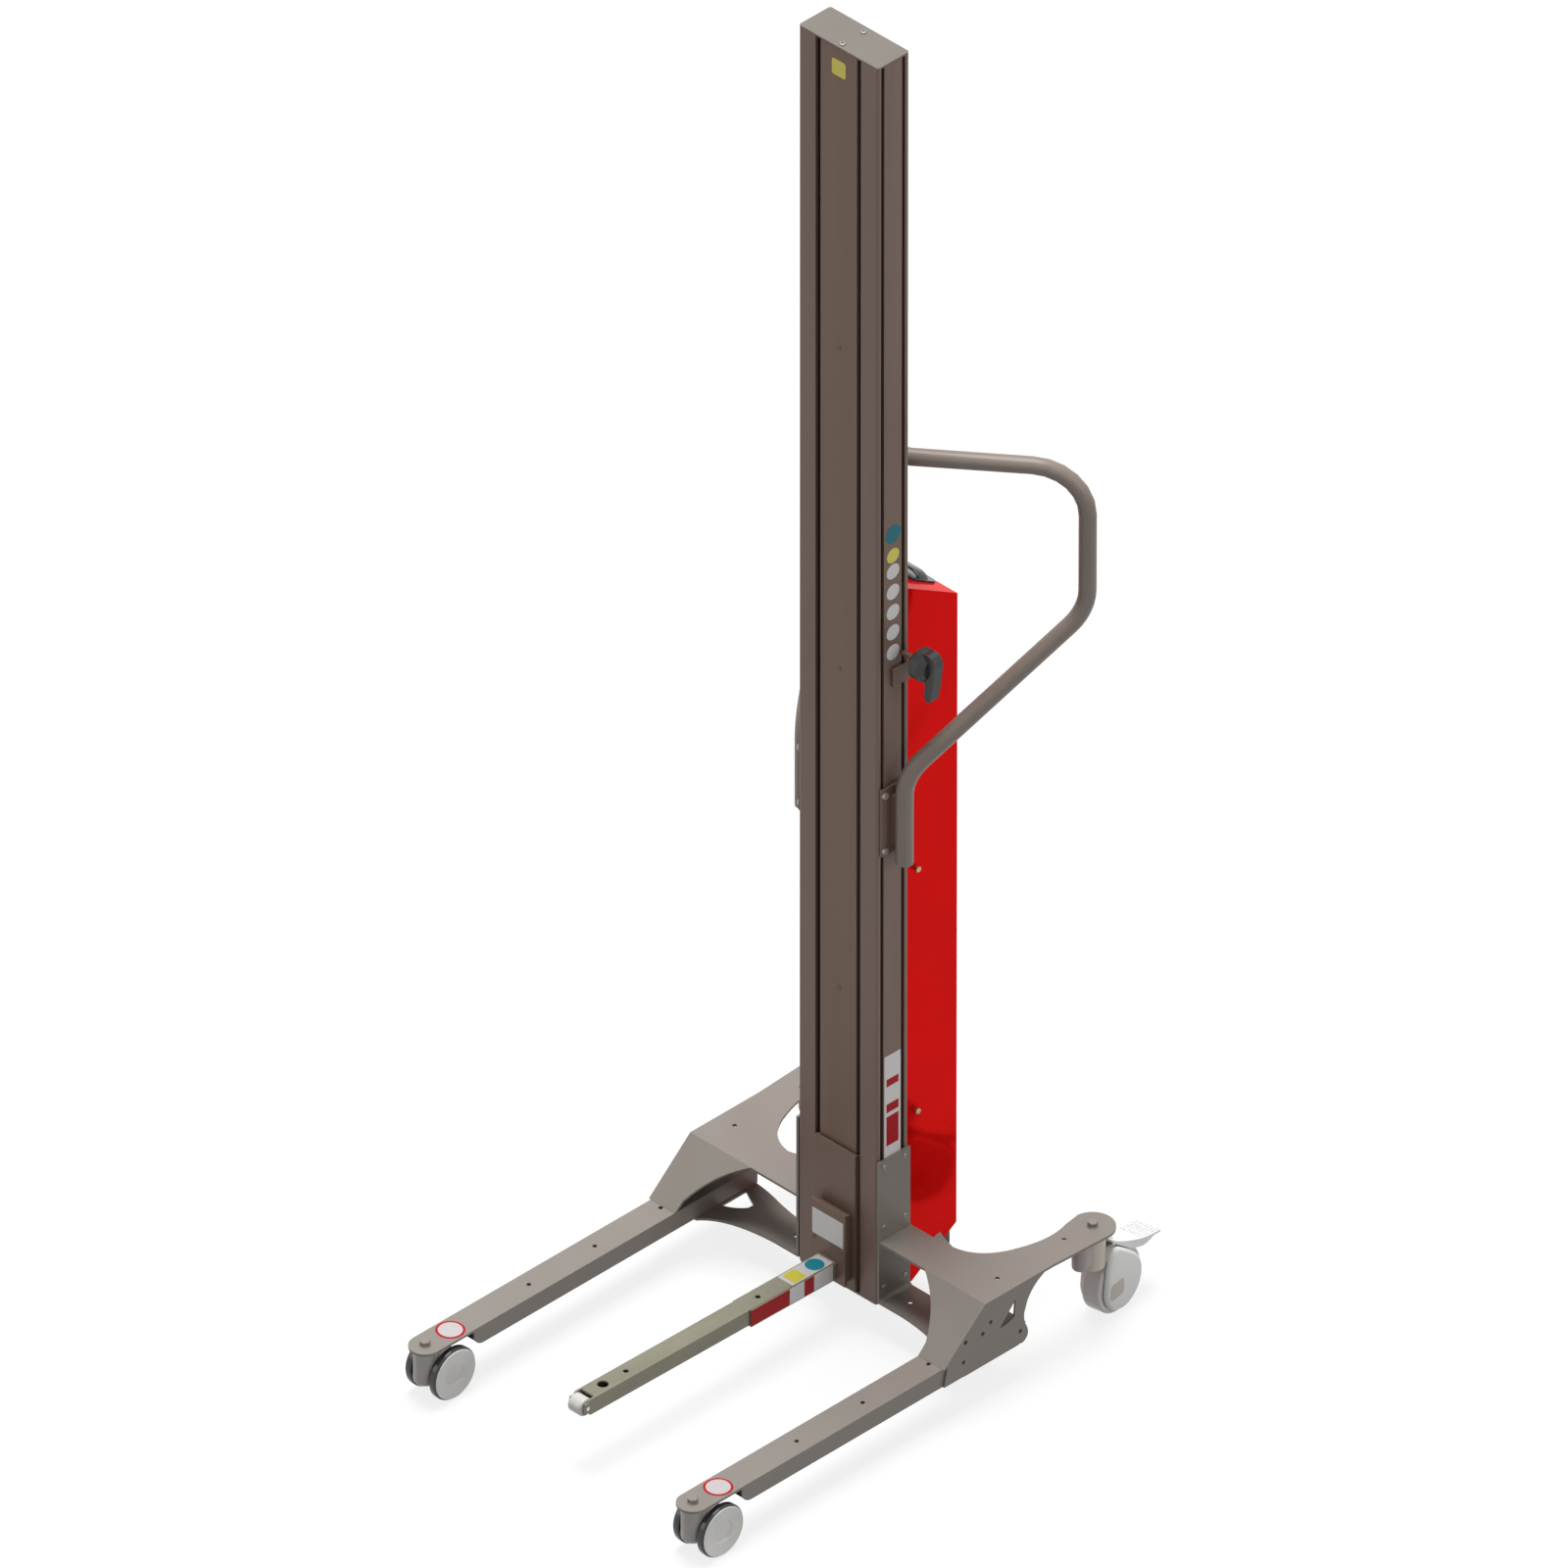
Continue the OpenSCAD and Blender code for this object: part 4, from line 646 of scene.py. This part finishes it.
def socket_screw(place, out, radius, height, key):
    """One head with a socket that is twice key across flats, seated at place and pointing out."""
    edge, ledge, depth = height * 0.45, radius * 0.12, height * 0.6
    bm = bmesh.new()
    bmesh.ops.create_cone(bm, cap_ends=True, segments=24, radius1=radius, radius2=radius,
                          depth=height)
    bmesh.ops.translate(bm, verts=bm.verts, vec=(0, 0, height / 2))
    top = max(bm.faces, key=lambda f: f.calc_center_median().z)
    round_off(bm, list(top.edges), edge, 3)
    top = max(bm.faces, key=lambda f: (round(f.calc_center_median().z, 6), f.calc_area()))
    bmesh.ops.inset_region(bm, faces=[top], thickness=ledge)
    for vert in top.verts:
        turn = math.atan2(vert.co.y, vert.co.x)
        reach = key / math.cos((turn + math.pi / 6) % (math.pi / 3) - math.pi / 6)
        vert.co.x, vert.co.y = reach * math.cos(turn), reach * math.sin(turn)
    sunk = bmesh.ops.extrude_discrete_faces(bm, faces=[top])["faces"]
    bmesh.ops.translate(bm, verts=sunk[0].verts, vec=(0, 0, -depth))
    return seated(bm, place, out)


def screw_set(name, body, stands_for, material, size, seats):
    """Like screws as one piece that stands for a CAD node; each seat is a place and a way out."""
    heads = joined([socket_screw(place, out, **size) for place, out in seats])
    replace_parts(grow(name, heads, material, body), stands_for)


strip_face = mast_front + 0.001
strip_screw_z = [0.544 + 0.527 * i for i in range(3)]
strip_seats = [((0, strip_face, z), (0, -1, 0)) for z in strip_screw_z]
strip_screw = {"radius": 0.0045, "height": 0.0008, "key": 0.0018}
# These heads take the strip's colour, which is painted darker and browner as shade.
screw_set("strip_screws", "frame", "mast_screws", strip_painted_shade,
          strip_screw, strip_seats)
cap_screw_y = (mast_front + 0.008, mast_back - 0.012)
cap_seats = [((0, y, mast_top), (0, 0, 1)) for y in cap_screw_y]
cap_screw = {"radius": 0.0045, "height": 0.0022, "key": 0.0018}
screw_set("cap_screws", "frame", "mast_screws", dull_screw, cap_screw, cap_seats)

bracket_face = mast_side + 0.0043
groove_y = (mast_front + 0.0094, mast_back - 0.011)
groove_z = (0.082, 0.181, 0.280)
groove_seats = [((s * bracket_face, y, z), (s, 0, 0))
                for s in (-1, 1) for y in groove_y for z in groove_z]
groove_screw = {"radius": 0.0034, "height": 0.0018, "key": 0.0015}
screw_set("side_bracket_screws", "frame", "bracket_bolts", dull_screw,
          groove_screw, groove_seats)

boom_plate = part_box("boom_bracket")[0].y
plate_screw_x, plate_screw_z = 0.0276, 0.127
plate_seats = [((s * plate_screw_x, boom_plate, plate_screw_z), (0, -1, 0)) for s in (-1, 1)]
plate_screw = {"radius": 0.0036, "height": 0.0014, "key": 0.0016}
screw_set("boom_bracket_screws", "carriage", "bracket_screws", brown_steel,
          plate_screw, plate_seats)

# Labels. Thin printed film with round corners, left blank or in plain fields of colour: bands on
# the boom's channel, a tall strip and a column of discs on the mast, a disc on each leg.
smooth = {"grain": (60, 60, 60), "grain_depth": 0.0000005, "uneven": 0.02, "patch": 0.02}
white_film = finish("white_film", (0.84, 0.81, 0.815), 0.34, shine=0.3, **smooth)
pale_film = finish("pale_film", (0.52, 0.49, 0.495), 0.34, shine=0.3, **smooth)
red_film = finish("red_film", (0.46, 0.006, 0.010), 0.34, shine=0.12, **smooth)
blue_film = finish("blue_film", (0.012, 0.190, 0.250), 0.34, shine=0.2, **smooth)
yellow_film = finish("yellow_film", (0.52, 0.46, 0.05), 0.34, shine=0.2, **smooth)
bright_yellow = finish("bright_yellow_film", (0.90, 0.78, 0.15), 0.34, shine=0.2, **smooth)
film_thick = 0.0002
film_gap = 0.00001
over_film = 0.0002
on_side = (Vector((0, 1, 0)), Vector((0, 0, 1)))
on_front = (Vector((1, 0, 0)), Vector((0, 0, 1)))
on_top = (Vector((1, 0, 0)), Vector((0, 1, 0)))
boom_slope = math.radians(1)
boom_face = 0.1043
boom_root = Vector((0, mast_front - 0.022, boom_face))


def film(name, centre, ways, wide, tall, material, body, round_by=0.002, lift=0.0, on_boom=False):
    """A flat film stuck on at centre; ways are the two along which its width and height run."""
    bm = flat_plate(wide, tall, film_thick, round_by)
    across, along = ways
    out = across.cross(along)
    middle = Vector(centre) + out * (film_thick / 2 + film_gap + lift)
    bmesh.ops.transform(bm, verts=bm.verts, matrix=laid(across, along, out, middle))
    if on_boom:
        bmesh.ops.rotate(bm, verts=bm.verts, cent=boom_root,
                         matrix=Matrix.Rotation(-boom_slope, 3, "X"))
    return grow(name, bm, material, body)


label_y = mast_front + 0.0295
full_round = 0.98
white_disc_z = (1.253, 1.2195, 1.1865, 1.153, 1.1205)
discs = [("blue", blue_film, 1.3146, 0.0145), ("yellow", bright_yellow, 1.279, 0.0115)]
discs += [("white_%d" % i, white_film, z, 0.012) for i, z in enumerate(white_disc_z)]
for label, material, z, radius in discs:
    film("mast_disc_" + label, (mast_side, label_y, z), on_side, 2 * radius, 2 * radius, material,
         "frame", round_by=radius * full_round)
strip_label_z, strip_label_wide, strip_label_tall, field_wide = 0.373, 0.031, 0.168, 0.023
film("mast_strip_label", (mast_side, label_y, strip_label_z), on_side, strip_label_wide,
     strip_label_tall, white_film, "frame")
for label, z, tall in (("upper", 0.412, 0.012), ("middle", 0.370, 0.014), ("lower", 0.332, 0.048)):
    film("mast_strip_" + label, (mast_side, label_y, z), on_side, field_wide, tall, red_film,
         "frame", round_by=0.0005, lift=over_film)
top_label_z, top_label_wide = 2.052, 0.026
film("mast_top_label", (0, strip_face, top_label_z), on_front, top_label_wide, top_label_wide,
     bright_yellow, "frame", round_by=0.004)

leg_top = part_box("leg_right")[1].z
leg_disc_y = mast_front - 0.4847
rim_wide, rim_round = 0.041, 0.0202
disc_wide, disc_round = 0.034, 0.0167
for s, label in ((1, "right"), (-1, "left")):
    centre = (s * leg_x, leg_disc_y, leg_top)
    film("leg_disc_rim_" + label, centre, on_top, rim_wide, rim_wide, red_film, "frame", rim_round)
    film("leg_disc_" + label, centre, on_top, disc_wide, disc_wide, pale_film, "frame",
         disc_round, lift=over_film)

plate_label_z, plate_label_wide, plate_label_tall = 0.1535, 0.059, 0.042
plate_label = film("boom_plate_label", (0, boom_plate, plate_label_z), on_front,
                   plate_label_wide, plate_label_tall, white_film, "carriage", round_by=0.001)
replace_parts(plate_label, "bracket_label")

channel_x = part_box("boom_sleeve")[1].x
band_z, band_tall = 0.0905, 0.0255
bands = [("red_long", red_film, -0.183, -0.1085), ("grey_long", white_film, -0.1085, -0.0805),
         ("red_short", red_film, -0.0805, -0.0618), ("grey_short", white_film, -0.0618, -0.026)]
for label, material, front, back in bands:
    for s, side in ((1, "right"), (-1, "left")):
        centre = (s * channel_x, mast_front + (front + back) / 2, band_z)
        film("boom_band_%s_%s" % (label, side), centre, (s * on_side[0], on_side[1]), back - front,
             band_tall, material, "carriage", round_by=0.0004, on_boom=True)
for label, ahead, wide, tall, material, round_by, lift in (
        ("film", 0.062, 0.029, 0.078, pale_film, 0.002, 0.0),
        ("blue", 0.044, 0.027, 0.027, blue_film, 0.0132, over_film),
        ("yellow", 0.083, 0.024, 0.024, yellow_film, 0.003, over_film)):
    film("boom_top_" + label, (0, mast_front - ahead, boom_face), on_top, wide, tall, material,
         "carriage", round_by, lift, on_boom=True)
